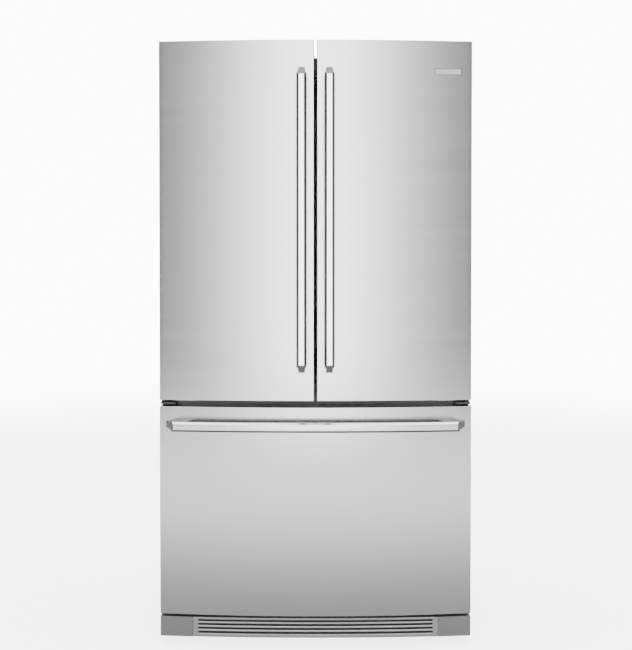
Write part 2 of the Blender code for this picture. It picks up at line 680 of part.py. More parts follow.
# ------------------------------------------------------------------ freezer drawer
def drawer():
    slide = carrier("drawer_axis", (0, LINER_FACE, DRAWER_BOTTOM))
    limits = (DRAWER_BOTTOM, DRAWER_TOP)
    panel = bowed_core("drawer_panel", -HALF_WIDTH, HALF_WIDTH, DOOR_BACK - GAP, limits, 18, 0, 1, "stainless",
                       bevel=0.0012)
    cut(panel, bowed_core("drawer_inside", -HALF_WIDTH, HALF_WIDTH, DOOR_BACK + 0.02, limits, 18, DOOR_SKIN))
    liner = bowed_core("drawer_liner", -HALF_WIDTH, HALF_WIDTH, DOOR_BACK + 0.001, limits, 18, DOOR_SKIN + GAP, 1,
                       "liner_white")
    plate = box("drawer_plate", (-0.4505, 0.4505), (DOOR_BACK, LINER_FACE), (DRAWER_BOTTOM + 0.002, DRAWER_TOP - 0.002))
    pad = soften(box("drawer_pad", (-0.392, 0.392), (DOOR_BACK + 0.0005, -0.205), (0.140, 0.642)), 0.008)
    join(liner, plate, pad)
    gasket = ring("drawer_gasket", (-HALF_WIDTH + GASKET_INSET, HALF_WIDTH - GASKET_INSET),
                  (DRAWER_BOTTOM + GASKET_INSET, DRAWER_TOP - GASKET_INSET), (LINER_FACE + GAP, CASE_FRONT - GAP),
                  GASKET_WIDTH, "gasket_grey")

    def bend(s, w, d):
        return (s, bow(s) - GAP * (1 - d / HANDLE_REACH) - d, DRAWER_HANDLE_Z + w)

    handle = staple_handle("drawer_handle", DRAWER_HANDLE_HALF, bend, 12)
    basket = tray("freezer_basket", (-0.3755, 0.3755), (-0.191, 0.125), (0.140, 0.4350), 0.003, "white_plastic",
                  taper=0.012, rim=0.0125, bevel=0)
    hang(slide, panel, liner, gasket, handle, basket, drawer_frame())
    tray_slide = carrier("sliding_tray_axis", (0, -0.190, 0.442))
    hang(tray_slide, tray("sliding_tray", (-0.384, 0.384), (-0.190, 0.050), (0.442, 0.560), 0.003, "white_plastic",
                          taper=0.002, bevel=0))


def drawer_frame():
    """U-shaped steel frame that carries the basket, with raised runners behind it for the tray."""
    outer, inner = 0.388, 0.380
    plan = [(-outer, -0.2045), (-outer, 0.245), (outer, 0.245), (outer, -0.2045), (inner, -0.2045),
            (inner, 0.232), (-inner, 0.232), (-inner, -0.2045)]
    frame = slab("drawer_frame", plan, ARM_Z, "XY", "galvanised")
    for side in (-1, 1):
        join(frame, box(f"runner_{side}", (side * inner, side * outer), (0.142, 0.245), (0.430, 0.4415)))
    return frame


def slides():
    """Telescopic slides: a fixed rail on each side and a middle member, joined across by a rod."""
    for side, name in ((-1, "left"), (1, "right")):
        box("slide_rail_" + name, (side * 0.3965, side * 0.4048), (-0.200, 0.250), RAIL_Z, "galvanised", bevel=0.002)
    middle = box("slide_middle", (0.3885, 0.3960), (-0.195, 0.245), (RAIL_Z[0] + 0.003, RAIL_Z[1] - 0.003),
                 "galvanised")
    rod = cylinder("cross_rod", 0.004, (-0.392, 0.235, 0.394), (0.392, 0.235, 0.394), sides=10)
    left = box("left_member", (-0.3960, -0.3885), (-0.195, 0.245), (RAIL_Z[0] + 0.003, RAIL_Z[1] - 0.003))
    join(middle, rod, left)


# ------------------------------------------------------------------ inside the compartments
def shelves():
    """Four half-width glass shelves and the full-width crisper lid."""
    for level, low in (("upper", 1.400), ("lower", 1.190)):
        for side, name in ((-1, "left"), (1, "right")):
            box(f"shelf_{level}_{name}", (side * 0.003, side * 0.4035), (-0.105, 0.300), (low, low + 0.014),
                "shelf_glass", bevel=0.002)
    box("crisper_lid", (-0.4045, 0.4045), (-0.105, 0.318), (0.968, 0.982), "shelf_glass", bevel=0.002)


def crispers():
    for side, name in ((-1, "left"), (1, "right")):
        tray("crisper_" + name, (side * 0.008, side * 0.402), (-0.045, 0.300), (0.7560, 0.958), 0.003,
             "clear_plastic", taper=0.006)
        box("humidity_slider_" + name, (side * 0.205 - 0.014, side * 0.205 + 0.014), (-0.1140, -0.1053),
            (0.970, 0.980), "white_plastic", bevel=0.002)


def control_panel():
    box("control_panel", (-0.110, 0.110), (-0.178, -0.070), (1.6525, 1.6643), "white_plastic", bevel=0.003)


def serpentine(x_start, x_end, rows, place):
    """Points of a tube that runs to and fro, with each row's height and depth from place(row)."""
    points = []
    bulge = 0.008
    for row in range(rows):
        ends = (x_start, x_end) if row % 2 == 0 else (x_end, x_start)
        points += [(x, *place(row)) for x in ends]
        if row < rows - 1:
            a, b = Vector(place(row)), Vector(place(row + 1))
            outward = bulge if ends[1] > ends[0] else -bulge
            points.append((ends[1] + outward, *(a * 0.75 + b * 0.25)))
            points.append((ends[1] + outward, *(a * 0.25 + b * 0.75)))
    return points


def evaporator():
    """Cooling coil and its fan behind the freezer's rear cover."""
    cover = box("evaporator_cover", (-0.4035, 0.4035), (0.262, 0.265), (0.3165, 0.6515), "white_plastic")
    cut(cover, cylinder("cover_hole", 0.054, (0, 0.25, 0.585), (0, 0.28, 0.585), sides=24))
    tube("evaporator_coil", serpentine(-0.25, 0.25, 8, lambda row: (0.300, 0.340 + 0.024 * row)), 0.0045,
         "aluminium")
    fan("evaporator_fan", (0, 0.282, 0.585), 0.050, "Y")


def fan(name, location, radius, axis):
    """A hub with five pitched blades, turning about its own origin."""
    hub_radius = radius * 0.28
    half = 0.008
    hub = turned(name, [(0, half), (hub_radius, half), (hub_radius, -half), (0, -half)], location,
                 "black_plastic", 15, axis)
    apply(hub)
    turn = {"Y": Matrix.Rotation(-pi / 2, 4, "X"), "X": Matrix.Rotation(pi / 2, 4, "Y")}[axis]
    for index in range(5):
        cage = bmesh.new()
        bmesh.ops.create_cube(cage, size=1.0)
        length = radius - hub_radius * 0.8
        bmesh.ops.scale(cage, vec=(length, radius * 0.55, 0.002), verts=cage.verts)
        bmesh.ops.rotate(cage, matrix=Matrix.Rotation(radians(16), 3, "X"), verts=cage.verts)
        bmesh.ops.translate(cage, vec=(radius - length / 2 - 0.003, 0, 0), verts=cage.verts)
        bmesh.ops.transform(cage, matrix=turn @ Matrix.Rotation(2 * pi * index / 5, 4, "Z"), verts=cage.verts)
        mesh = bpy.data.meshes.new(f"{name}_blade_{index}")
        cage.to_mesh(mesh)
        cage.free()
        join(hub, add(f"{name}_blade_{index}", mesh, location=location))
    return hub


def machine_space():
    """Compressor, condenser coil and condenser fan on the rear tray."""
    shell = [(0, 0.245), (0.035, 0.241), (0.062, 0.228), (0.078, 0.205), (0.082, 0.165), (0.082, 0.120),
             (0.072, 0.088), (0.050, 0.072), (0.046, 0.0625), (0, 0.0625)]
    pump = turned("compressor", shell, (0.235, 0.277, 0), "black_steel", 20)
    join(pump, box("compressor_plate", (0.135, 0.335), (0.200, 0.354), (CASE_BOTTOM, 0.064)))
    rows = 6

    def stack(row):
        layer = row // rows
        level = row % rows if layer == 0 else rows - 1 - row % rows
        return (0.225 + 0.085 * layer, 0.085 + 0.034 * level)

    tube("condenser_coil", serpentine(-0.395, -0.060, 2 * rows, stack), 0.0035, "black_steel")
    fan("condenser_fan", (0.045, 0.277, 0.170), 0.070, "X")


def main():
    cabinet_shell()
    cabinet_insulation()
    liners()
    back_covers()
    base_frame()
    kick()
    supports()
    upper_hinges()
    center_hinges()
    left_door()
    right_door()
    drawer()
    slides()
    shelves()
    crispers()
    control_panel()
    evaporator()
    machine_space()


for old in list(bpy.data.objects):
    bpy.data.objects.remove(old)
PARTS = collection("french_door_refrigerator")
CUTTERS = collection("cutters")
main()
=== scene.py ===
# %% [markdown]
# # A french door refrigerator in brushed steel
#
# The solid model of the refrigerator already exists: every panel, bin and fan is there, in metres, at its
# real place. This lesson gives it its looks. Pieces whose solid is too plain are modelled again with
# Blender's own tools, the rest get a finish, and every new piece rides on the body that it belongs to, so
# doors and drawers still open.

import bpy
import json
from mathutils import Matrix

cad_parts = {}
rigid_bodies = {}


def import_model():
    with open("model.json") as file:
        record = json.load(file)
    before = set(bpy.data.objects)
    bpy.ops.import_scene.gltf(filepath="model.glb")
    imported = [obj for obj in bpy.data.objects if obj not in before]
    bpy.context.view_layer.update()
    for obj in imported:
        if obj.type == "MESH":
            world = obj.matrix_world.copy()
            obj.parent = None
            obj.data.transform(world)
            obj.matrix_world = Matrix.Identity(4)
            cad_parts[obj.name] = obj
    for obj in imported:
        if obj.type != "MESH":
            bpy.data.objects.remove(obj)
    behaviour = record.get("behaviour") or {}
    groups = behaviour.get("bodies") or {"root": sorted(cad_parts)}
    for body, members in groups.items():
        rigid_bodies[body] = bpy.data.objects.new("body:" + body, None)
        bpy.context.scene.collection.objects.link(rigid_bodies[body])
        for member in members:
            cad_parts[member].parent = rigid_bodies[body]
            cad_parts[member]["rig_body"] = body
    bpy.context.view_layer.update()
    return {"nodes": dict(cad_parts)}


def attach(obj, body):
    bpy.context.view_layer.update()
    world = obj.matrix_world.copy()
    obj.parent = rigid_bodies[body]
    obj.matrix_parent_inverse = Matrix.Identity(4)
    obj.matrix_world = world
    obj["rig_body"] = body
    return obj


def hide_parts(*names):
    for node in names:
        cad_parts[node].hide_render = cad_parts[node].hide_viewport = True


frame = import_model()

# %% [markdown]
# ## Small tools
#
# Blender's operators act on whatever is selected. So a piece always starts alone in the selection, and
# inside edit mode faces or edges are picked by a test on their place or direction. That is what a hand
# would do with the mouse.

# %% Start a piece, pick parts of it
import json
from math import asin, atan2, cos, hypot, pi, radians, sin, sqrt

import bmesh
import bpy
from mathutils import Matrix, Vector


def alone(piece):
    bpy.ops.object.select_all(action="DESELECT")
    piece.select_set(True)
    bpy.context.view_layer.objects.active = piece
    return piece


def settle(piece):
    """Object mode, with place, turn and scale moved into the mesh."""
    alone(piece)
    bpy.ops.object.transform_apply(location=True, rotation=True, scale=True)
    return piece


def fresh(kind, name, **settings):
    """A new primitive, alone in the selection."""
    bpy.ops.object.select_all(action="DESELECT")
    getattr(bpy.ops.mesh, f"primitive_{kind}_add")(**settings)
    piece = bpy.context.object
    piece.name = piece.data.name = name
    return piece


def box(name, low, high, turn=(0, 0, 0)):
    """A box with sharp edges between two corners."""
    low, high = Vector(low), Vector(high)
    piece = fresh("cube", name, size=1, location=(low + high) / 2, rotation=turn)
    piece.scale = high - low
    return settle(piece)


def middle(item):
    if isinstance(item, bmesh.types.BMVert):
        return item.co
    if isinstance(item, bmesh.types.BMEdge):
        return (item.verts[0].co + item.verts[1].co) / 2
    return item.calc_center_median()


def pick(piece, kind, test=lambda item: True):
    """Edit mode, with only the VERT, EDGE or FACE items selected that pass the test."""
    alone(piece)
    bpy.ops.object.mode_set(mode="EDIT")
    bpy.ops.mesh.select_mode(type=kind)
    bpy.ops.mesh.select_all(action="DESELECT")
    cage = bmesh.from_edit_mesh(piece.data)
    items = {"VERT": cage.verts, "EDGE": cage.edges, "FACE": cage.faces}[kind]
    count = 0
    for item in items:
        if test(item):
            item.select_set(True)
            count += 1
    bmesh.update_edit_mesh(piece.data)
    return count


def leave():
    bpy.ops.object.mode_set(mode="OBJECT")


def delete(piece, kind, test=lambda item: True, what=None):
    """Delete the items that pass the test."""
    pick(piece, kind, test)
    bpy.ops.mesh.delete(type=what or kind)
    leave()


def outwards():
    """Turn all normals outwards and leave edit mode."""
    bpy.ops.mesh.select_all(action="SELECT")
    bpy.ops.mesh.normals_make_consistent(inside=False)
    leave()


print("tools ready")

# %% [markdown]
# ## Rounded edges, modifiers and copies
#
# Nothing made of sheet metal or moulded plastic has a knife edge. Even half a millimetre of rounding
# catches the light and makes an edge readable, so almost every piece gets a bevel on its sharp edges.

# %% Edge rounding and other finishing tools
SHARP = radians(25)


def soften(piece, width, segments=2, test=lambda place: True):
    """Round the sharp edges whose middle passes the test."""
    if pick(piece, "EDGE", lambda edge: edge.calc_face_angle(0) > SHARP and test(middle(edge))):
        bpy.ops.mesh.bevel(offset=width, segments=segments, affect="EDGES", clamp_overlap=True)
    leave()
    return piece


def modify(piece, kind, **settings):
    """Add a modifier and apply it at once."""
    alone(piece)
    step = piece.modifiers.new(kind.title(), kind)
    for key, value in settings.items():
        setattr(step, key, value)
    bpy.ops.object.modifier_apply(modifier=step.name)
    return piece


def block(name, low, high, round_by=0.001, segments=2, turn=(0, 0, 0)):
    """A box between two corners with all its edges rounded."""
    low, high = Vector(map(min, low, high)), Vector(map(max, low, high))
    return soften(box(name, low, high, turn), round_by, segments)


def carve(piece, tool):
    """Cut one piece with another, which is used up."""
    modify(piece, "BOOLEAN", operation="DIFFERENCE", object=tool, solver="EXACT")
    bpy.data.objects.remove(tool)
    return piece


def merge(name, *pieces):
    """Join several bodies into one named piece."""
    alone(pieces[0])
    for piece in pieces[1:]:
        piece.select_set(True)
    if len(pieces) > 1:
        bpy.ops.object.join()
    pieces[0].name = pieces[0].data.name = name
    return pieces[0]


def copy(piece, name, shift=(0, 0, 0), matrix=None):
    """A copy with its own mesh, moved by a shift or by a matrix."""
    twin = bpy.data.objects.new(name, piece.data.copy())
    twin.data.name = name
    twin.data.transform(matrix if matrix else Matrix.Translation(shift))
    if matrix and matrix.determinant() < 0:
        twin.data.flip_normals()
    bpy.context.scene.collection.objects.link(twin)
    return twin


def repeat(name, piece, shifts):
    """One piece copied to several places and joined."""
    twins = [copy(piece, f"{name}_{i}", shift) for i, shift in enumerate(shifts)]
    bpy.data.objects.remove(piece)
    return merge(name, *twins)


MIRROR = Matrix.Scale(-1, 4, (1, 0, 0))
print("finishing tools ready")

# %% [markdown]
# ## Round things and bowed things
#
# A turned piece, such as a screw head or a fan hub, starts as a disc that is extruded and resized step by
# step. A bowed panel is a rolled sheet: one end face is spun about an axis more than three metres behind
# the door, and then its back and ends are squared up by flattening them onto planes.

# %% Turned and bowed pieces
FRONT_CENTRE, BOW_RADIUS = -0.3245, 3.2154
TURNS = {"Z": (0, 0, 0), "X": (0, pi / 2, 0), "Y": (pi / 2, 0, 0), "-Y": (-pi / 2, 0, 0)}


def turned(name, centre, profile, axis="Z", sides=24):
    """A profile of (radius, height) steps, turned about an axis through the centre."""
    radius, height = profile[0]
    piece = fresh("circle", name, vertices=sides, radius=radius, fill_type="NGON", location=(0, 0, height))
    settle(piece)
    bpy.ops.object.mode_set(mode="EDIT")
    bpy.ops.mesh.select_all(action="SELECT")
    for wider, higher in profile[1:]:
        bpy.ops.mesh.extrude_region_move(TRANSFORM_OT_translate={"value": (0, 0, higher - height)})
        ratio = wider / radius
        bpy.ops.transform.resize(value=(ratio, ratio, 1), center_override=(0, 0, higher))
        radius, height = wider, higher
    outwards()
    piece.rotation_euler = TURNS[axis]
    piece.location = centre
    return settle(piece)


def bow(x, centre=FRONT_CENTRE, radius=BOW_RADIUS):
    """How far forward the bowed front is at a place across the width."""
    return centre + radius - sqrt(radius ** 2 - x ** 2)


def flatten(piece, test, scale, place):
    pick(piece, "VERT", test)
    bpy.ops.transform.resize(value=scale, center_override=place)
    leave()


def swept(name, x, depth, z, centre=FRONT_CENTRE, radius=BOW_RADIUS, steps=24):
    """A bar of constant depth that follows the bow, with both ends squared up."""
    axis = Vector((0, centre + radius, 0))
    near, far = (asin(end / radius) for end in x)
    corner = bow(x[0], centre, radius)
    piece = fresh("plane", name, size=1, location=(x[0], corner + depth / 2, sum(z) / 2),
                  rotation=(0, pi / 2, 0))
    piece.scale = (z[1] - z[0], depth, 1)
    settle(piece)
    pick(piece, "FACE")
    bpy.ops.mesh.spin(steps=steps, dupli=False, angle=near - far, center=axis, axis=(0, 0, 1))
    outwards()
    half_step = abs(near - far) / steps / 2
    for end, angle in zip(x, (near, far)):
        aim = lambda vert: abs(atan2(vert.co.x, axis.y - vert.co.y) - angle) < half_step
        flatten(piece, aim, (0, 1, 1), (end, 0, 0))
    return piece


def bowed(name, x, back, z, centre=FRONT_CENTRE, radius=BOW_RADIUS, steps=24):
    """A block whose front follows the bow and whose back is flat."""
    depth = back - bow(x[0], centre, radius)
    piece = swept(name, x, depth, z, centre, radius, steps)
    behind = lambda vert: hypot(vert.co.x, centre + radius - vert.co.y) < radius - depth / 2
    flatten(piece, behind, (1, 0, 1), (0, back, 0))
    return piece


print("bow: %.1f mm over the width" % ((bow(0.4525) - bow(0)) * 1000))

# %% [markdown]
# ## Camera
#
# A tall appliance is shot from a few metres away with a long lens, so that its sides stay almost parallel.
# The camera stands at chest height and looks down by little more than a degree. A small vertical shift
# brings the plinth into the picture without tilting further.

# %% Place the camera
EYE = (0.0, -3.9245, 1.17)
TILT = radians(1.4)
bpy.ops.object.camera_add(location=EYE, rotation=(pi / 2 - TILT, 0, 0))
camera = bpy.context.object
camera.data.lens = 69.45
camera.data.shift_x = 0.0008
camera.data.shift_y = -0.08
bpy.context.scene.camera = camera
print("camera", EYE, "lens", camera.data.lens)

# %% [markdown]
# ## Floor and light
#
# Brushed steel has hardly any colour of its own: it shows what stands around it. So the room matters more
# than the lamps. Straight ahead of the doors is a bright area with dim walls to each side of it and
# darkness above it. The bowed front then runs from bright in the middle to mid grey at its outer edges. The
# ceiling is one even soft light. The floor and the background are pale. A studio lights its backdrop apart
# from the object, so what the camera sees directly is brighter here than what the steel reflects: in
# reflections the floor is darker close to the plinth, which is painted shadow in front of the fridge. With
# distance the floor melts into the backdrop.

# %% Floor and surroundings
FULL = 10.0
# share of the half turn away from straight ahead of the doors, brightness near the horizon
WALLS = ((0.0, 7.0), (0.02, 6.4), (0.036, 4.6), (0.052, 3.0), (0.068, 1.9), (0.085, 1.1), (0.105, 0.6),
         (0.13, 0.36), (0.16, 0.26), (0.30, 0.3), (0.45, 0.36), (0.60, 0.4), (0.76, 0.7), (0.88, 0.9),
         (1.0, 1.0))
CEILING, BACKDROP = 4.2, 12.0
# how pale the floor is in reflections near the plinth (darker there, as painted shadow) and far away, and
# where it changes
FLOOR_PAINTED_SHADOW, FLOOR_FAR, FLOOR_FADE = 0.26, 0.90, (-0.6, -2.5)
# how pale and how bright the floor is where the camera sees it directly, and where it melts away
FLOOR_SEEN, FLOOR_GLOW, FLOOR_REACH = 0.93, 4.0, (3.0, 8.0)
# heights of the view direction between which the walls go dark and the ceiling starts
DARK_FROM, CEILING_FROM, DARK_SHARE = (0.20, 0.36), (0.50, 0.85), 0.12


def node(tree, kind, **settings):
    """Add a shader node; a setting is one of its inputs or one of its properties."""
    made = tree.nodes.new("ShaderNode" + kind)
    for key, value in settings.items():
        if key in made.inputs:
            made.inputs[key].default_value = value
        else:
            setattr(made, key, value)
    return made


def link(tree, *links):
    """Each link names a node, its output, another node and its input."""
    for source, output, target, entry in links:
        tree.links.new(source.outputs[output], target.inputs[entry])


def ramp(tree, kind, *limits):
    """A change between two places, from one value to another."""
    labels = ("From Min", "From Max", "To Min", "To Max")
    return node(tree, "MapRange", interpolation_type=kind, **dict(zip(labels, limits)))


def maths(tree, operation, second=None):
    made = node(tree, "Math", operation=operation)
    if second is not None:
        made.inputs[1].default_value = second
    return made


def mix(tree, second=None, kind="FLOAT"):
    """A mix of two values or colours; the second one may be fixed."""
    made = node(tree, "Mix", data_type=kind)
    if second is not None:
        made.inputs[7 if kind == "RGBA" else 3].default_value = second
    return made


floor = fresh("plane", "floor", size=80, location=(0, 0, 0))
paper = bpy.data.materials.new("floor_paper")
paper.use_nodes = True
tree = paper.node_tree
place, split, seen = node(tree, "TexCoord"), node(tree, "SeparateXYZ"), node(tree, "LightPath")
# Painted shadow: in reflections the floor is darker close to the plinth
floor_shadow_ramp = ramp(tree, "SMOOTHSTEP", *FLOOR_FADE, FLOOR_PAINTED_SHADOW, FLOOR_FAR)
away = ramp(tree, "SMOOTHSTEP", *FLOOR_REACH, 1.0, 0.0)
distance, tone = node(tree, "VectorMath", operation="LENGTH"), mix(tree, FLOOR_SEEN)
glow = maths(tree, "MULTIPLY", FLOOR_GLOW)
paint = tree.nodes["Principled BSDF"]
for label, value in (("Roughness", 0.9), ("Specular IOR Level", 0.1), ("Emission Color", (1, 1, 1, 1))):
    paint.inputs[label].default_value = value
link(tree, (place, "Object", split, 0), (split, "Y", floor_shadow_ramp, "Value"), (floor_shadow_ramp, 0, tone, 2),
     (seen, "Is Camera Ray", tone, 0), (tone, 0, paint, "Base Color"), (seen, "Is Camera Ray", glow, 0),
     (glow, 0, paint, "Emission Strength"), (place, "Object", distance, 0),
     (distance, "Value", away, "Value"), (away, 0, paint, "Alpha"))
floor.data.materials.append(paper)

world = bpy.data.worlds.new("studio")
bpy.context.scene.world = world
world.use_nodes = True
tree = world.node_tree
background = tree.nodes["Background"]
background.inputs["Color"].default_value = (1, 1, 1, 1)
direction, split, seen = node(tree, "TexCoord"), node(tree, "SeparateXYZ"), node(tree, "LightPath")
turn, side = maths(tree, "ARCTAN2"), maths(tree, "ABSOLUTE")
ahead, share = maths(tree, "MULTIPLY", -1), maths(tree, "DIVIDE", pi)
levels, stronger, dimmed = node(tree, "FloatCurve"), maths(tree, "MULTIPLY", FULL), maths(tree, "MULTIPLY")
line = levels.mapping.curves[0]
for where, level in WALLS[1:-1]:
    line.points.new(where, level / FULL)
for point, (where, level) in zip((line.points[0], line.points[-1]), (WALLS[0], WALLS[-1])):
    point.location = (where, level / FULL)
for point in line.points:
    point.handle_type = "VECTOR"
levels.mapping.update()
height = ramp(tree, "SMOOTHSTEP", *CEILING_FROM)
above = ramp(tree, "SMOOTHSTEP", *DARK_FROM, 1.0, DARK_SHARE)
sky, drop = mix(tree, CEILING), mix(tree, BACKDROP)
link(tree, (direction, "Generated", split, 0), (split, "X", side, 0), (split, "Y", ahead, 0),
     (side, 0, turn, 0), (ahead, 0, turn, 1), (turn, 0, share, 0), (share, 0, levels, "Value"),
     (levels, 0, stronger, 0), (stronger, 0, dimmed, 0), (split, "Z", above, "Value"),
     (above, 0, dimmed, 1), (dimmed, 0, sky, 2), (split, "Z", height, "Value"), (height, 0, sky, 0),
     (sky, 0, drop, 2), (seen, "Is Camera Ray", drop, 0), (drop, 0, background, "Strength"))
print("floor and surroundings ready")

# %% [markdown]
# ## Surface effects that many finishes share
#
# A real surface is never one flat colour: steel is brushed in one direction, paint has an orange peel,
# plastic has the fine texture of its mould. One group makes them all: noise stretched by three scales, one
# for each axis. Scales of 20, 2000 and 2000 draw hair lines along X, and three equal scales draw speckles.
# A second group lays dust on whatever faces up.

# %% Node groups: grain and dust
def group(name, inputs, outputs):
    made = bpy.data.node_groups.new(name, "ShaderNodeTree")
    for label, kind, value in inputs:
        socket = made.interface.new_socket(name=label, in_out="INPUT", socket_type="NodeSocket" + kind)
        socket.default_value = value
    for label, kind in outputs:
        made.interface.new_socket(name=label, in_out="OUTPUT", socket_type="NodeSocket" + kind)
    return made, made.nodes.new("NodeGroupInput"), made.nodes.new("NodeGroupOutput")


grain, given, result = group("surface_grain", (
    ("Stretch", "Vector", (20, 2000, 2000)), ("Wide", "Vector", (2, 2, 2)),
    ("Dark", "Color", (0.5, 0.5, 0.5, 1)), ("Light", "Color", (0.6, 0.6, 0.6, 1)),
    ("Smooth", "Float", 0.3), ("Rough", "Float", 0.4), ("Depth", "Float", 0.1)),
    (("Color", "Color"), ("Roughness", "Float"), ("Normal", "Vector")))
place, bump = node(grain, "TexCoord"), node(grain, "Bump", Distance=0.0002)
fine = node(grain, "TexNoise", Scale=1.0, Detail=3.0, Roughness=0.6)
wide = node(grain, "TexNoise", Scale=1.0, Detail=2.0)
blend, rough, tint = mix(grain), mix(grain), mix(grain, kind="RGBA")
blend.inputs[0].default_value = 0.45
steps = ramp(grain, "LINEAR", 0.32, 0.68)
for noise, scale in ((fine, "Stretch"), (wide, "Wide")):
    mapping = node(grain, "Mapping")
    link(grain, (place, "Object", mapping, "Vector"), (given, scale, mapping, "Scale"),
         (mapping, 0, noise, "Vector"))
link(grain, (fine, 0, blend, 2), (wide, 0, blend, 3), (blend, 0, steps, "Value"), (steps, 0, tint, 0),
     (given, "Dark", tint, 6), (given, "Light", tint, 7), (steps, 0, rough, 0), (given, "Smooth", rough, 2),
     (given, "Rough", rough, 3), (given, "Depth", bump, "Strength"), (fine, 0, bump, "Height"),
     (tint, 2, result, "Color"), (rough, 0, result, "Roughness"), (bump, 0, result, "Normal"))

dust, given, result = group("settled_dust", (
    ("Color", "Color", (0.5, 0.5, 0.5, 1)), ("Roughness", "Float", 0.4), ("Amount", "Float", 0.3)),
    (("Color", "Color"), ("Roughness", "Float")))
facing, split_up = node(dust, "NewGeometry"), node(dust, "SeparateXYZ")
place, clumps = node(dust, "TexCoord"), node(dust, "TexNoise", Scale=35.0, Detail=4.0)
upward = ramp(dust, "LINEAR", 0.6, 1.0)
patchy, cover = maths(dust, "MULTIPLY"), maths(dust, "MULTIPLY")
tint, rough = mix(dust, (0.42, 0.40, 0.37, 1), "RGBA"), mix(dust, 0.9)
link(dust, (facing, "Normal", split_up, 0), (split_up, "Z", upward, "Value"),
     (place, "Object", clumps, "Vector"), (upward, 0, patchy, 0), (clumps, 0, patchy, 1),
     (patchy, 0, cover, 0), (given, "Amount", cover, 1), (cover, 0, tint, 0), (given, "Color", tint, 6),
     (cover, 0, rough, 0), (given, "Roughness", rough, 2), (tint, 2, result, "Color"),
     (rough, 0, result, "Roughness"))
print("groups:", [g.name for g in bpy.data.node_groups])

# %% [markdown]
# ## The finishes
#
# Each finish is one Principled shader fed by the grain group. Brushed steel is a metal with hair lines
# along X on the doors and along the bars on the handles. Anisotropy stretches its reflections across the
# lines, which is what makes steel look brushed rather than frosted. Painted steel, liner plastic, rubber
# and glass differ in colour, in gloss and in the scale of their grain.

# %% Make the finishes


def finish(slot, colour, spread, gloss, stretch, depth, name=None, wide=(3, 3, 3), dusty=0.0, **sockets):
    """A finish whose colour and roughness vary between two limits over its grain."""
    made = bpy.data.materials.new(name or slot)
    made.use_nodes = True
    made["slot"] = slot
    tree = made.node_tree
    shader = tree.nodes["Principled BSDF"]
    for label, value in sockets.items():
        shader.inputs[label.replace("_", " ")].default_value = value
    effect = node(tree, "Group", node_tree=grain)
    effect.inputs["Stretch"].default_value = stretch
    effect.inputs["Wide"].default_value = wide
    effect.inputs["Dark"].default_value = (*(c * (1 - spread) for c in colour), 1)
    effect.inputs["Light"].default_value = (*(min(1, c * (1 + spread)) for c in colour), 1)
    effect.inputs["Smooth"].default_value, effect.inputs["Rough"].default_value = gloss
    effect.inputs["Depth"].default_value = depth
    last = effect
    if dusty:
        last = node(tree, "Group", node_tree=dust)
        last.inputs["Amount"].default_value = dusty
        tree.links.new(effect.outputs["Color"], last.inputs["Color"])
        tree.links.new(effect.outputs["Roughness"], last.inputs["Roughness"])
    tree.links.new(last.outputs["Color"], shader.inputs["Base Color"])
    tree.links.new(last.outputs["Roughness"], shader.inputs["Roughness"])
    tree.links.new(effect.outputs["Normal"], shader.inputs["Normal"])
    return made


ALONG_X, ALONG_Z, SPECKLE = (14, 1600, 1600), (1600, 1600, 14), (900, 900, 900)
STEEL = dict(Metallic=1.0, Anisotropic=0.4)
FINISHES = {look["slot"]: look for look in (
    finish("stainless_sheet", (0.66, 0.665, 0.665), 0.018, (0.188, 0.214), ALONG_X, 0.04, "brushed_steel",
           wide=(1.5, 1.5, 40), **STEEL),
    finish("handle_steel", (0.84, 0.84, 0.84), 0.03, (0.14, 0.19), ALONG_Z, 0.04, "handle_steel_upright",
           wide=(60, 60, 3), **STEEL),
    finish("case_paint", (0.27, 0.272, 0.28), 0.06, (0.42, 0.55), (420, 420, 420), 0.5, dusty=0.5),
    finish("galvanised_steel", (0.52, 0.53, 0.54), 0.12, (0.34, 0.52), (90, 90, 90), 0.08, dusty=0.4,
           Metallic=1.0),
    finish("black_steel", (0.025, 0.025, 0.027), 0.2, (0.32, 0.45), SPECKLE, 0.15, dusty=0.5),
    finish("foam", (0.80, 0.70, 0.42), 0.1, (0.9, 1.0), (300, 300, 300), 0.6),
    finish("white_liner", (0.86, 0.87, 0.87), 0.015, (0.22, 0.32), (160, 160, 160), 0.06),
    finish("kick_grey", (0.30, 0.305, 0.31), 0.05, (0.34, 0.44), SPECKLE, 0.12, Metallic=0.4),
    finish("gasket_rubber", (0.085, 0.085, 0.09), 0.12, (0.6, 0.75), (700, 700, 700), 0.2),
    finish("shelf_glass", (0.90, 0.97, 0.95), 0.01, (0.01, 0.03), (60, 60, 60), 0.01,
           Transmission_Weight=0.95, IOR=1.5),
    finish("clear_plastic", (0.93, 0.95, 0.96), 0.01, (0.05, 0.10), (80, 80, 80), 0.03,
           Transmission_Weight=0.92, IOR=1.46),
    finish("white_plastic", (0.80, 0.80, 0.80), 0.03, (0.36, 0.46), SPECKLE, 0.1),
    finish("black_plastic", (0.03, 0.03, 0.032), 0.15, (0.38, 0.5), SPECKLE, 0.2, dusty=0.3),
    finish("coil_aluminium", (0.74, 0.75, 0.76), 0.06, (0.28, 0.42), (300, 300, 300), 0.08, Metallic=1.0),
    finish("badge_metal", (0.93, 0.93, 0.93), 0.02, (0.26, 0.34), (12, 1500, 1500), 0.03, Metallic=0.85),
)}
BAR_STEEL = finish("handle_steel", (0.84, 0.84, 0.84), 0.03, (0.14, 0.19), ALONG_X, 0.04,
                   "handle_steel_level", wide=(3, 60, 60), **STEEL)
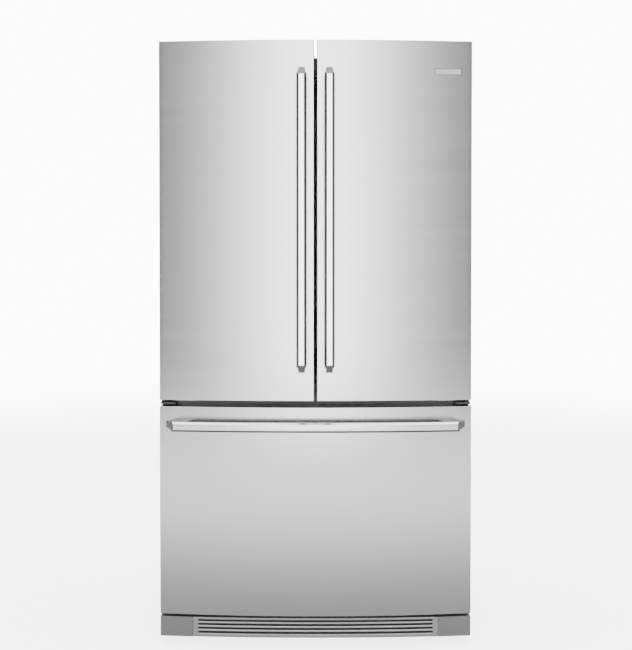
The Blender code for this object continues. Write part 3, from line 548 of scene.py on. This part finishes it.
# The badge's rim and sides: a much darker metal than the field, painted shadow round the plate's edge
RIM_SHADOW_METAL = finish("badge_metal", (0.36, 0.36, 0.365), 0.04, (0.30, 0.40), SPECKLE, 0.05, "badge_rim",
                   Metallic=1.0)
# The grille's rails and slats: a lighter copy of the kick grey, painted light for the light from above that
# falls on them
SLAT_LIT_GREY = finish("kick_grey", (0.52, 0.525, 0.53), 0.04, (0.28, 0.36), (20, 900, 900), 0.05, "slat_grey",
                   Metallic=0.6)
CHROME = finish("handle_steel", (0.85, 0.85, 0.86), 0.02, (0.10, 0.16), (20, 900, 900), 0.02, "chrome_trim",
                Metallic=1.0)
LENS = finish("white_plastic", (0.92, 0.93, 0.94), 0.02, (0.2, 0.3), (500, 500, 500), 0.15, "lamp_lens",
              Transmission_Weight=0.4)
for solid in frame["nodes"].values():
    for index, old in enumerate(solid.data.materials):
        solid.data.materials[index] = FINISHES[old.name.split(".")[0]]
print(len(FINISHES), "finishes on", len(frame["nodes"]), "solids")

# %% [markdown]
# ## Finishing a piece
#
# Every piece ends the same way: its finish goes on, its faces are shaded smooth between soft edges, a
# weighted normal keeps the large flat faces flat, it is attached to the body it rides on, and the solids it
# stands for are hidden.

# %% The last step of every piece
def dress(piece, body, look, *replaced, angle=40):
    """The look is a finish or the name of its slot; the replaced solids are those it stands for."""
    look = FINISHES[look] if isinstance(look, str) else look
    settle(piece)
    piece.data.materials.clear()
    piece.data.materials.append(look)
    bpy.ops.object.shade_smooth_by_angle(angle=radians(angle))
    modify(piece, "WEIGHTED_NORMAL", keep_sharp=True)
    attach(piece, body)
    if replaced:
        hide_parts(*replaced)
    return piece


def pair(right, body, look, *solids):
    """Dress a right-hand piece and its mirror image; body and solids are named for the right."""
    left = copy(right, right.name.replace("right", "left"), matrix=MIRROR)
    for piece, side in ((right, "right"), (left, "left")):
        dress(piece, body.replace("right", side), look, *(solid.replace("right", side) for solid in solids))


def look_of(solid):
    return frame["nodes"][solid].data.materials[0]


def body_of(solid):
    return frame["nodes"][solid]["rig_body"]


def merged(solid, name, unite=False):
    """A copy of a solid with its doubled corners joined and, if asked, its level faces united."""
    piece = copy(frame["nodes"][solid], name)
    pick(piece, "VERT")
    bpy.ops.mesh.remove_doubles(threshold=1e-5)
    if unite:
        bpy.ops.mesh.dissolve_limited(angle_limit=radians(1))
    leave()
    return piece


def refined(solid, name, width, segments=2, look=None):
    """A merged copy of a solid with its edges rounded, which stands for that solid."""
    piece = merged(solid, name, unite=True)
    soften(piece, width, segments)
    return dress(piece, body_of(solid), look or look_of(solid), solid)


print("ready to build")

# %% [markdown]
# ## Door and drawer skins
#
# The front of each door is one steel sheet. It is rolled to a three metre radius and folded round all four
# sides, with a small outer radius at the folds. So a bowed block gets its front edges rounded, loses its
# back face, and the remaining skin is given the thickness of sheet steel. A pocket at the outer top corner
# clears the hinge arm.

# %% Model the skins
DOOR_BACK, SHEET = -0.2408, 0.001
POCKET = ((0.4255, -0.2875, 1.7100), (0.47, -0.23, 1.76))


def skin(name, x, z, pocket=False):
    piece = bowed(name, x, DOOR_BACK, z, steps=28)
    soften(piece, 0.0022, 3, lambda place: place.y < DOOR_BACK - 0.001)
    delete(piece, "FACE", lambda face: face.normal.y > 0.9)
    modify(piece, "SOLIDIFY", thickness=SHEET, offset=-1)
    if pocket:
        carve(piece, box(name + "_pocket", *POCKET))
    return piece


right_skin = skin("right_door_skin", (0.004, 0.4525), (0.712, 1.750), pocket=True)
pair(right_skin, "right_door", "stainless_sheet", "right_door_panel")
drawer_skin = skin("drawer_skin", (-0.4525, 0.4525), (0.088, 0.694))
dress(drawer_skin, "drawer", "stainless_sheet", "drawer_panel")

right_cap = box("right_hinge_pocket", (0.4256, -0.2874, 1.7101), (0.4519, -0.2413, 1.7494))
delete(right_cap, "FACE", lambda face: max(face.normal) > 0.9)
modify(right_cap, "SOLIDIFY", thickness=0.0008, offset=-1)
carve(right_cap, turned("pin_bore", (0.4405, -0.2765, 1.70), ((0.0048, 0), (0.0048, 0.03))))
pair(right_cap, "right_door", "black_plastic")
print("door skin faces:", len(right_skin.data.polygons), "drawer skin faces:", len(drawer_skin.data.polygons))

# %% [markdown]
# ## Handles
#
# Each handle is one steel bar on two spreading posts. The solid already has the right facets: a flat front,
# two chamfers and an undercut towards the door. A merged copy only needs its edges rounded, as a polisher
# would leave them. On the long drawer handle the joints between its bowed stretches stay as they are,
# because they lie flat. The front is polished. The ends, the flanks (the underside on the drawer handle) and
# the faces towards the door get a rougher steel, and its much darker colour is painted shade.

# %% Refine the handles
# Satin finish with painted shade: it is rougher than the polished steel, and its far darker colour stands in
# for the dark surroundings that ends and flanks reflect
SATIN_AND_SHADE = finish("handle_steel", (0.25, 0.25, 0.255), 0.06, (0.34, 0.44), SPECKLE, 0.08, "handle_satin_painted_shade",
               Metallic=1.0)
for solid, look in (("left_door_handle", "handle_steel"), ("right_door_handle", "handle_steel"),
                    ("drawer_handle", BAR_STEEL)):
    bar = refined(solid, solid + "_bar", 0.0016, 3, look)
    bar.data.materials.append(SATIN_AND_SHADE)
    for face in bar.data.polygons:
        x, y, z = face.normal
        end, flank = (abs(x), -z) if look == BAR_STEEL else (abs(z), abs(x))
        # Painted shade: ends, flanks and faces towards the door take the dark copy of the steel
        if y > 0.2 or end > 0.3 or flank > 0.5:
            face.material_index = 1
    print(bar.name, len(bar.data.polygons), "faces")

# %% [markdown]
# ## Badge plate
#
# A small metal plate sits near the top outer corner of the right door, tangent to the bow. It has a raised
# rim round a blank field: the field is inset from the front face and pressed in by four tenths of a
# millimetre. The rim and the sides are much darker than the field, which is painted shadow round the plate's
# edge and makes the small plate readable from afar.

# %% Model the badge plate
PLATE_X, PLATE_Z = 0.3816, 1.661
plate_turn = asin(PLATE_X / BOW_RADIUS)
outward = Vector((sin(plate_turn), -cos(plate_turn), 0))
plate_centre = Vector((PLATE_X, bow(PLATE_X), PLATE_Z)) + outward * 0.0013
half_plate = Vector((0.039, 0.001, 0.009))
plate = box("badge_plate", plate_centre - half_plate, plate_centre + half_plate, (0, 0, plate_turn))
soften(plate, 0.0006, 2)
pick(plate, "FACE", lambda face: face.normal.dot(outward) > 0.99)
bpy.ops.mesh.inset(thickness=0.0014, depth=0)
bpy.ops.mesh.inset(thickness=0.0003, depth=-0.0004)
leave()
dress(plate, "right_door", "badge_metal", "nameplate")
plate.data.materials.append(RIM_SHADOW_METAL)
field = half_plate - Vector((0.0016, 0, 0.0016))
# Rim and sides take the darker metal, which is painted shadow
for face in plate.data.polygons:
    away = face.center - plate_centre
    if hypot(away.x, away.y) > field.x or abs(away.z) > field.z:
        face.material_index = 1
print("badge plate: %.0f x %.0f mm" % (plate.dimensions.x * 1000, plate.dimensions.z * 1000))

# %% [markdown]
# ## Plinth grille
#
# Air for the compressor enters through the plinth. Three rounded slats run between a top and a bottom rail,
# all of them following the bow, and a plain block closes each corner. A rounded slat is a swept bar whose
# long edges are bevelled by nearly half its height. The rails and slats are a lighter grey than the corner
# blocks, which is painted light from above. A dark sheet behind them is painted shade in the slots.

# %% Model the grille and its corner blocks
KICK_CENTRE, KICK_SAGITTA = -0.3125, 0.022
KICK_RADIUS = (0.4525 ** 2 + KICK_SAGITTA ** 2) / (2 * KICK_SAGITTA)
KICK = dict(centre=KICK_CENTRE, radius=KICK_RADIUS)
GRILLE_HALF, OPEN_HALF = 0.3565, 0.3415
long_edges = lambda place: abs(place.x) < GRILLE_HALF - 0.001
rails = [soften(swept(f"rail_{low}", (-GRILLE_HALF, GRILLE_HALF), 0.0135, (low, high), **KICK), 0.0018, 3)
         for low, high in ((0.0728, 0.080), (0.022, 0.0326))]
stiles = [soften(swept(f"stile_{side}", sorted((side * OPEN_HALF, side * GRILLE_HALF)), 0.0133,
                       (0.0225, 0.0795), steps=4, **KICK), 0.0012) for side in (-1, 1)]
# Rails, stiles and slats take the lighter grey, which is painted light
dress(merge("grille_frame", *rails, *stiles), "cabinet", SLAT_LIT_GREY, "toe_grille")
slats = [soften(swept(f"slat_{low}", (-OPEN_HALF - 0.002, OPEN_HALF + 0.002), 0.010, (low, low + 0.0062),
                      centre=KICK_CENTRE + 0.0012, radius=KICK_RADIUS - 0.0012), 0.0026, 4, long_edges)
         for low in (0.0612, 0.0497, 0.0382)]
dress(merge("grille_slats", *slats), "cabinet", SLAT_LIT_GREY)
# A black sheet behind the slots: painted shade that darkens the openings
shade_sheet = swept("slot_shade_sheet", (-0.345, 0.345), 0.001, (0.026, 0.077), centre=KICK_CENTRE + 0.0125,
               radius=KICK_RADIUS - 0.0125)
dress(soften(shade_sheet, 0.0003, 1), "cabinet", "black_plastic")
right_corner = bowed("corner_block_right", (GRILLE_HALF + 0.0005, 0.4525), -0.2262, (0.022, 0.080), steps=10,
                     **KICK)
soften(right_corner, 0.0038, 4)
pair(right_corner, "cabinet", "kick_grey", "grille_end_right")
print("grille: 3 slats, 2 rails, 2 stiles, 2 corner blocks")

# %% [markdown]
# ## The case from outside
#
# The wrapper, the gaskets, the hinges, the base frame, the legs and the rollers have the right shape as
# solids and only need rounded edges. Their widths follow the way each is made: half a millimetre on stamped
# steel, more on rubber and on moulded liners. Plastic covers sit over the upper hinges.

# %% Round the edges of case and door solids
ROUNDING = {
    "cabinet_shell": 0.0011, "left_door_gasket": 0.003, "right_door_gasket": 0.003, "drawer_gasket": 0.003,
    "upper_hinge_left": 0.0005, "upper_hinge_right": 0.0005, "base_frame": 0.0006,
    "leveling_leg_left": 0.0004, "leveling_leg_right": 0.0004, "rear_roller_left": 0.0008,
    "rear_roller_right": 0.0008, "machine_cover": 0.0004, "left_door_liner": 0.003,
    "right_door_liner": 0.003, "drawer_liner": 0.003, "flip_mullion": 0.0012,
}
for solid, width in ROUNDING.items():
    refined(solid, solid + "_shape", width, 3 if width > 0.001 else 2)
for side in ("left", "right"):
    refined(f"center_hinge_{side}", f"center_hinge_{side}_shape", 0.0006, 2, "black_steel")
stop = block("centre_stop", (-0.0172, -0.2268, 1.6675), (0.0172, -0.2250, 1.7105), 0.0006)
dress(stop, "cabinet", "black_plastic")
right_cover = block("hinge_cover_right", (0.380, -0.2212, 1.7122), (0.4515, -0.143, 1.7395), 0.006, 4)
pair(right_cover, "cabinet", "black_plastic")
print(len(ROUNDING), "solids rounded, 2 hinge covers")

# %% [markdown]
# ## Liners of the case
#
# Both compartments are drawn from plastic sheet over a mould, so their inner corners have a generous
# radius. Only the edges behind the front flange are rounded, because the flange has to stay flat for the
# gaskets.

# %% Round the corners of the compartments
for solid in ("fresh_food_liner", "freezer_liner"):
    liner = merged(solid, solid + "_moulded")
    soften(liner, 0.009, 4, lambda place: place.y > -0.19)
    dress(liner, "cabinet", look_of(solid), solid)
    print(solid, len(liner.data.polygons), "faces")

# %% [markdown]
# ## Back of the case
#
# The rear panel is one galvanised sheet. Shallow fields are pressed into it so that it does not drum: the
# sheet is sliced into a grid, the outer faces of some cells are inset, and the inner part is moved in by
# less than two millimetres. Round screw heads with a recess hold the panel and the cover of the compressor
# space.

# %% Model the rear panel and the screws
FIELD_ROWS = ((0.33, 0.66), (0.69, 1.00), (1.03, 1.34), (1.37, 1.68))
RIB_HALF, FIELD_EDGE = 0.02, 0.425


def slice_at(piece, axis, places):
    """Cut every face with planes square to one axis."""
    for place in places:
        pick(piece, "FACE")
        bpy.ops.mesh.bisect(plane_co=Vector(axis) * place, plane_no=axis)
        leave()


foam = copy(frame["nodes"]["cabinet_insulation"], "insulation")
flatten(foam, lambda vert: vert.co.y > 0.382, (1, 0, 1), (0, 0.380, 0))
dress(foam, "cabinet", "foam", "cabinet_insulation")
panel = box("pressed_rear_panel", (-0.4508, 0.3812, 0.3003), (0.4508, 0.3832, 1.7105))
slice_at(panel, (1, 0, 0), (-FIELD_EDGE, -RIB_HALF, RIB_HALF, FIELD_EDGE))
slice_at(panel, (0, 0, 1), [z for row in FIELD_ROWS for z in row])


def in_field(face):
    place = face.calc_center_median()
    return (face.normal.y > 0.9 and RIB_HALF < abs(place.x) < FIELD_EDGE
            and any(low < place.z < high for low, high in FIELD_ROWS))


print(pick(panel, "FACE", in_field), "pressed fields")
bpy.ops.mesh.inset(thickness=0.004, depth=0, use_individual=True)
bpy.ops.mesh.inset(thickness=0.005, depth=-0.0017, use_individual=True)
leave()
dress(panel, "cabinet", "galvanised_steel", "rear_panel", angle=20)


def screws(name, places, body, look, outward="-Y", radius=0.0042):
    """Screw heads with a washer face and a driver recess."""
    steps = [(radius * 1.25, 0), (radius * 1.25, 0.0003), (radius, 0.0005), (radius * 0.94, 0.0011),
             (radius * 0.5, 0.0013), (radius * 0.42, 0.0006)]
    head = turned(name, (0, 0, 0), steps, outward, 12)
    return dress(repeat(name, head, places), body, look)


edge_rows = [(x, 0.3831, z) for z in (0.315, 0.675, 1.015, 1.355, 1.695) for x in (-0.436, 0.0, 0.436)]
screws("rear_panel_screws", edge_rows, "cabinet", "galvanised_steel")
cover_rows = [(x, 0.3832, z) for z in (0.075, 0.285) for x in (-0.436, -0.145, 0.145, 0.436)]
screws("machine_cover_screws", cover_rows, "cabinet", "black_steel")

# %% [markdown]
# ## Door bins
#
# A bin is an open tray. The top face of a block is deleted, its floor is drawn in for draft, the upright
# corners and the floor's edges are rounded, and the open rim is extruded outwards and down into a rolled
# lip. Then the whole skin gets its wall thickness on the inside.

# %% Make bins and trays
def tray(name, low, high, wall=0.0022, corner=0.014, rim=0.006, drop=0.005, draft=0.004):
    low, high = Vector(low), Vector(high)
    margin = Vector((rim + wall, rim + wall, 0))
    piece = box(name, low + margin, high - margin - Vector((0, 0, wall)))
    delete(piece, "FACE", lambda face: face.normal.z > 0.9)
    middle_place, size = (low + high) / 2, high - low
    foot = tuple((span - 2 * draft) / span for span in size.xy)
    flatten(piece, lambda vert: vert.co.z < middle_place.z, (*foot, 1), middle_place)
    top = high.z - wall
    pick(piece, "EDGE", lambda edge: abs(edge.verts[0].co.z - edge.verts[1].co.z) > size.z / 2)
    bpy.ops.mesh.bevel(offset=corner, segments=5, affect="EDGES")
    leave()
    pick(piece, "EDGE",
         lambda edge: max(v.co.z for v in edge.verts) < low.z + 1e-4 and edge.calc_face_angle(0) > SHARP)
    bpy.ops.mesh.bevel(offset=corner * 0.6, segments=4, affect="EDGES")
    outwards()
    if min(piece.data.polygons, key=lambda face: face.center.z).normal.z > 0:
        piece.data.flip_normals()
    pick(piece, "EDGE", lambda edge: edge.is_boundary)
    bpy.ops.mesh.extrude_region_move()
    inner = size.xy - 2 * margin.xy
    bpy.ops.transform.resize(value=((inner.x + 2 * rim) / inner.x, (inner.y + 2 * rim) / inner.y, 1),
                             center_override=(middle_place.x, middle_place.y, top))
    bpy.ops.mesh.extrude_region_move(TRANSFORM_OT_translate={"value": (0, 0, -drop)})
    leave()
    modify(piece, "SOLIDIFY", thickness=wall, offset=-1)
    return soften(piece, wall * 0.3, 2, lambda place: place.z > top - drop - wall)


BINS = {"left_bin_lower": (0.990, 1.125), "left_bin_upper": (1.225, 1.340), "right_bin_lower": (1.040, 1.180),
        "right_bin_upper": (1.360, 1.480), "dairy_box": (1.415, 1.4955)}
for solid, (low, high) in BINS.items():
    side = -1 if solid in ("left_bin_lower", "left_bin_upper", "dairy_box") else 1
    ends = sorted((side * 0.086, side * 0.366))
    body = "left_door" if side < 0 else "right_door"
    shape = tray(solid + "_shape", (ends[0], -0.2365, low), (ends[1], -0.130, high))
    dress(shape, body, look_of(solid), solid)
    if solid != "dairy_box":
        trim = block(solid + "_trim", (ends[0] + 0.012, -0.1297, high - 0.0125),
                     (ends[1] - 0.012, -0.1283, high - 0.001), 0.0005, 2)
        dress(trim, body, CHROME)
    lugs = [block(f"lug_{x}", (side * x - 0.003, -0.220, high - 0.018),
                  (side * x + 0.003, -0.172, high - 0.0095), 0.0012, 2)
            for x in (0.0865, 0.3655)]
    dress(merge(solid + "_lugs", *lugs), body, "white_liner")
print(len(BINS), "bins with trim and lugs")

# %% [markdown]
# ## Shelves and crispers
#
# A shelf is a sheet of glass held in a moulded rim, with a bright strip along its front edge. Two steel
# arms carry it, and each arm hooks into a slotted track on the back wall. The cover over the crispers is
# built the same way. The crispers themselves are trays, like the bins, with a pull along the front.

# %% Model the shelves, tracks and crispers
def glass_shelf(solid, x, z, side=0.012, lip=0.018, y=(-0.105, 0.300)):
    x, low, high = sorted(x), *z
    rim = merge(solid + "_rim",
                block("rim_left", (x[0], y[0] + 0.002, low), (x[0] + side, y[1], high), 0.003, 3),
                block("rim_right", (x[1] - side, y[0] + 0.002, low), (x[1], y[1], high), 0.003, 3),
                block("rim_front", (x[0] + 0.001, y[0] + 0.001, low + 0.0002),
                      (x[1] - 0.001, y[0] + lip, high - 0.0002), 0.003, 3),
                block("rim_back", (x[0] + 0.001, y[1] - side, low + 0.0002),
                      (x[1] - 0.001, y[1] - 0.0002, high - 0.0002), 0.003, 3))
    dress(rim, "cabinet", "white_plastic")
    middle_z = (low + high) / 2
    pane = block(solid + "_pane", (x[0] + side - 0.003, y[0] + lip - 0.003, middle_z - 0.002),
                 (x[1] - side + 0.003, y[1] - side + 0.003, middle_z + 0.002), 0.0004)
    dress(pane, "cabinet", look_of(solid), solid)
    strip = block(solid + "_strip", (x[0] + 0.006, y[0], low + 0.0025),
                  (x[1] - 0.006, y[0] + 0.002, high - 0.0025), 0.0007)
    dress(strip, "cabinet", CHROME if solid != "crisper_lid" else "white_plastic")


for level, z in (("upper", (1.400, 1.414)), ("lower", (1.190, 1.204))):
    for side, name in ((-1, "left"), (1, "right")):
        glass_shelf(f"shelf_{level}_{name}", (side * 0.003, side * 0.4035), z)
glass_shelf("crisper_lid", (-0.4045, 0.4045), (0.968, 0.982), 0.014, 0.022, (-0.105, 0.318))

arm = box("shelf_arm", (-0.0014, 0.04, -0.026), (0.0014, 0.316, -0.0002))
flatten(arm, lambda vert: vert.co.y < 0.1 and vert.co.z < -0.01, (1, 1, 0.3), (0, 0, -0.0002))
soften(arm, 0.0005)
TRACKS = (-0.3965, -0.0095, 0.0095, 0.3965)
arm_places = [(x, 0, z) for z in (1.400, 1.190) for x in TRACKS]
dress(repeat("shelf_arms", arm, arm_places), "cabinet", "galvanised_steel")
track = block("track", (-0.0055, 0.3135, 1.02), (0.0055, 0.3250, 1.60), 0.001)
slot = box("track_slot", (-0.0018, 0.308, 1.035), (0.0018, 0.3165, 1.049))
carve(track, repeat("track_slots", slot, [(0, 0, 0.025 * row) for row in range(22)]))
dress(repeat("shelf_tracks", track, [(x, 0, 0) for x in TRACKS]), "cabinet", "white_liner")

for side, name in ((-1, "left"), (1, "right")):
    ends = sorted((side * 0.008, side * 0.402))
    body = "crisper_" + name
    shape = tray(body + "_shape", (ends[0], -0.045, 0.756), (ends[1], 0.300, 0.9580), 0.0025, 0.022, 0.008,
                 0.008, 0.010)
    dress(shape, body, look_of(body), body)
    centre = side * 0.205
    pull = block(body + "_pull", (centre - 0.14, -0.0585, 0.928), (centre + 0.14, -0.0452, 0.952), 0.004, 4)
    dress(pull, body, "white_plastic")
    refined(f"humidity_slider_{name}", f"humidity_knob_{name}", 0.0012, 3)
right_ledge = block("crisper_ledge_right", (0.3985, -0.100, 0.9590), (0.4048, 0.300, 0.9672), 0.0015)
pair(right_ledge, "cabinet", "white_liner")
print("4 shelves, crisper cover, 8 arms, 4 tracks, 2 crispers")

# %% [markdown]
# ## Ceiling, controls and air outlet
#
# The controls hang under the ceiling: a white housing with a dark window and two rows of plain keys. Behind
# it sits a ribbed lamp lens. Cold air comes out of a slotted cover high on the back wall.

# %% Model the controls, the lamp and the air outlet
refined("control_panel", "control_housing", 0.002, 4)
window = block("control_window", (-0.052, -0.1786, 1.6550), (0.052, -0.1776, 1.6618), 0.0004)
dress(window, "cabinet", "black_plastic")
key = turned("key", (0, 0, 0), ((0.0058, 0.001), (0.0058, -0.0010), (0.0048, -0.0016), (0.0030, -0.0012)),
             "Z", 20)
keys = repeat("control_keys", key,
              [(x, y, 1.6525) for y in (-0.150, -0.125) for x in (-0.075, -0.045, 0.045, 0.075)])
dress(keys, "cabinet", "white_plastic")
lens = block("lamp_lens", (-0.10, 0.02, 1.6575), (0.10, 0.10, 1.6646), 0.003, 4)
ribs = [block(f"rib_{i}", (-0.094 + 0.0125 * i, 0.026, 1.6562), (-0.0875 + 0.0125 * i, 0.094, 1.6580),
              0.0006, 2)
        for i in range(15)]
dress(merge("ribbed_lamp_lens", lens, *ribs), "cabinet", LENS)
outlet = block("air_outlet", (-0.125, 0.3120, 1.6120), (0.125, 0.3251, 1.6580), 0.004, 4)
vent = box("vent", (-0.110, 0.300, 1.620), (-0.104, 0.318, 1.650))
carve(outlet, repeat("vents", vent, [(0.0129 * column, 0, 0) for column in range(17)]))
dress(outlet, "cabinet", "white_liner")
print("controls, lamp lens and air outlet ready")

# %% [markdown]
# ## Mullion strip
#
# The folding mullion carries a steel strip that the gaskets close on. The strip is sunk into the bar and
# stands out by only a tenth of a millimetre, so that it clears both gaskets when the mullion is spread.

# %% Model the mullion strip
strip = block("mullion_strip", (-0.0270, -0.2105, 0.776), (-0.0259, -0.1485, 1.636), 0.00004, 1)
dress(strip, body_of("flip_mullion"), "galvanised_steel")
print("mullion strip on", body_of("flip_mullion"))

# %% [markdown]
# ## Freezer
#
# The basket is bent wire. One wire is the outline of a plane without its faces, with its corners rounded,
# turned into a curve that gets a round thickness and becomes a mesh again. U-shaped wires run both ways and
# level rings tie them.

# %% Model the basket, the tray and the freezer's metal parts
def wire(name, width, height, place, turn, radius, corner=0.02, open_side=None):
    """A bent wire along the outline of a plane."""
    piece = fresh("plane", name, size=1, location=place, rotation=turn)
    piece.scale = (width, height, 1)
    settle(piece)
    delete(piece, "FACE", what="ONLY_FACE")
    if open_side:
        delete(piece, "EDGE", open_side)
    pick(piece, "VERT", lambda vert: len(vert.link_edges) == 2)
    bpy.ops.mesh.bevel(offset=corner, segments=4, affect="VERTICES")
    leave()
    alone(piece)
    bpy.ops.object.convert(target="CURVE")
    piece = bpy.context.object
    piece.data.bevel_depth = radius
    piece.data.bevel_resolution = 1
    piece.data.use_fill_caps = True
    bpy.ops.object.convert(target="MESH")
    return bpy.context.object


BASKET_TOP, BASKET_MIDDLE = 0.4310, -0.033
top_side = lambda edge: middle(edge).z > BASKET_TOP - 0.01
across = wire("wire_across", 0.752, 0.287, (0, 0, BASKET_TOP - 0.1435), (pi / 2, 0, 0), 0.0014,
              open_side=top_side)
along = wire("wire_along", 0.287, 0.302, (0, BASKET_MIDDLE, BASKET_TOP - 0.1435), (0, pi / 2, 0), 0.0014,
             open_side=top_side)
ring = wire("wire_ring", 0.7535, 0.3035, (0, BASKET_MIDDLE, 0), (0, 0, 0), 0.0014)
rim = wire("basket_rim", 0.768, 0.309, (0, BASKET_MIDDLE, BASKET_TOP), (0, 0, 0), 0.0028, 0.025)
wires_across = repeat("wires_across", across, [(0, -0.163 + 0.0236 * i, 0) for i in range(12)])
wires_along = repeat("wires_along", along, [(-0.345 + 0.03 * i, 0, 0) for i in range(24)])
wire_rings = repeat("wire_rings", ring, [(0, 0, z) for z in (0.19, 0.25, 0.31, 0.37)])
basket = merge("wire_basket", rim, wires_across, wires_along, wire_rings)
dress(basket, body_of("freezer_basket"), look_of("freezer_basket"), "freezer_basket")
shape = tray("sliding_tray_shape", (-0.384, -0.190, 0.442), (0.384, 0.050, 0.560), 0.0025, 0.02, 0.008,
             0.008, 0.006)
dress(shape, "sliding_tray", look_of("sliding_tray"), "sliding_tray")
for solid, width in (("drawer_frame", 0.0008), ("slide_rail_left", 0.0006), ("slide_rail_right", 0.0006),
                     ("slide_middle", 0.0006), ("evaporator_cover", 0.0004), ("evaporator_fan", 0.0006),
                     ("condenser_fan", 0.0008)):
    refined(solid, solid + "_shape", width)

rings = []
for radius in (0.050, 0.036, 0.022, 0.010):
    ring = fresh("torus", "guard_ring", major_radius=radius, minor_radius=0.0012, major_segments=40,
                 minor_segments=8, location=(0, 0.2598, 0.585), rotation=(pi / 2, 0, 0))
    rings.append(settle(ring))
hub = Matrix.Translation((0, 0, 0.585))
for turn in (0, pi / 2):
    spoke = box("spoke", (-0.0545, 0.2590, 0.5838), (0.0545, 0.2606, 0.5862))
    spoke.data.transform(hub @ Matrix.Rotation(turn, 4, "Y") @ hub.inverted())
    rings.append(soften(spoke, 0.0004))
dress(merge("fan_guard", *rings), "cabinet", "white_plastic")
fin = box("fin", (-0.0002, 0.286, 0.334), (0.0002, 0.314, 0.514))
soften(fin, 0.0001, 1)
dress(repeat("evaporator_fins", fin, [(-0.24 + 0.008 * i, 0, 0) for i in range(61)]), "cabinet",
      "coil_aluminium")
print("basket wires, tray, rails, fan guard and 61 fins")

# %% [markdown]
# ## Compressor space
#
# The compressor is a welded steel pot, so its solid only gets smooth shading, a weld seam and a terminal
# box. The condenser is a serpentine tube with thin wires across it, and a shroud leads the air through its
# fan.

# %% Model the compressor space
def smoothed(solid, name):
    """A merged copy of a solid of tubes, shaded smooth."""
    return dress(merged(solid, name), body_of(solid), look_of(solid), solid, angle=65)


refined("dairy_lid", "dairy_lid_shape", 0.0006, 2)
smoothed("compressor", "compressor_pot")
smoothed("condenser_coil", "condenser_tube")
smoothed("evaporator_coil", "evaporator_tube")
seam = fresh("torus", "weld_seam", major_radius=0.082, minor_radius=0.0022, major_segments=48,
             minor_segments=8, location=(0.235, 0.277, 0.165))
dress(seam, "cabinet", "black_steel")
terminal = block("terminal_box", (0.140, 0.252, 0.120), (0.160, 0.302, 0.165), 0.004, 3)
dress(terminal, "cabinet", "black_plastic")
shroud = block("fan_shroud", (0.0290, 0.1960, 0.0650), (0.0312, 0.3600, 0.2560), 0.0006)
carve(shroud, turned("fan_hole", (0.02, 0.277, 0.170), ((0.074, 0), (0.074, 0.02)), "X", 48))
dress(shroud, "cabinet", "black_plastic")
MOTOR_PROFILE = ((0.018, 0), (0.020, 0.002), (0.020, 0.018), (0.017, 0.020))
motor = turned("fan_motor", (0.0545, 0.277, 0.170), MOTOR_PROFILE, "X", 32)
bracket = block("motor_bracket", (0.060, 0.2735, 0.0625), (0.066, 0.2805, 0.155), 0.0008)
dress(merge("fan_motor_shape", motor, bracket), "cabinet", "galvanised_steel")
rod = settle(fresh("cylinder", "rod", vertices=6, radius=0.0008, depth=0.166, location=(0, 0, 0.170)))
rods = [(-0.395 + 0.012 * i, y, 0) for y in (0.2212, 0.3140) for i in range(29)]
dress(repeat("condenser_wires", rod, rods), "cabinet", "black_steel")
print("compressor space ready")
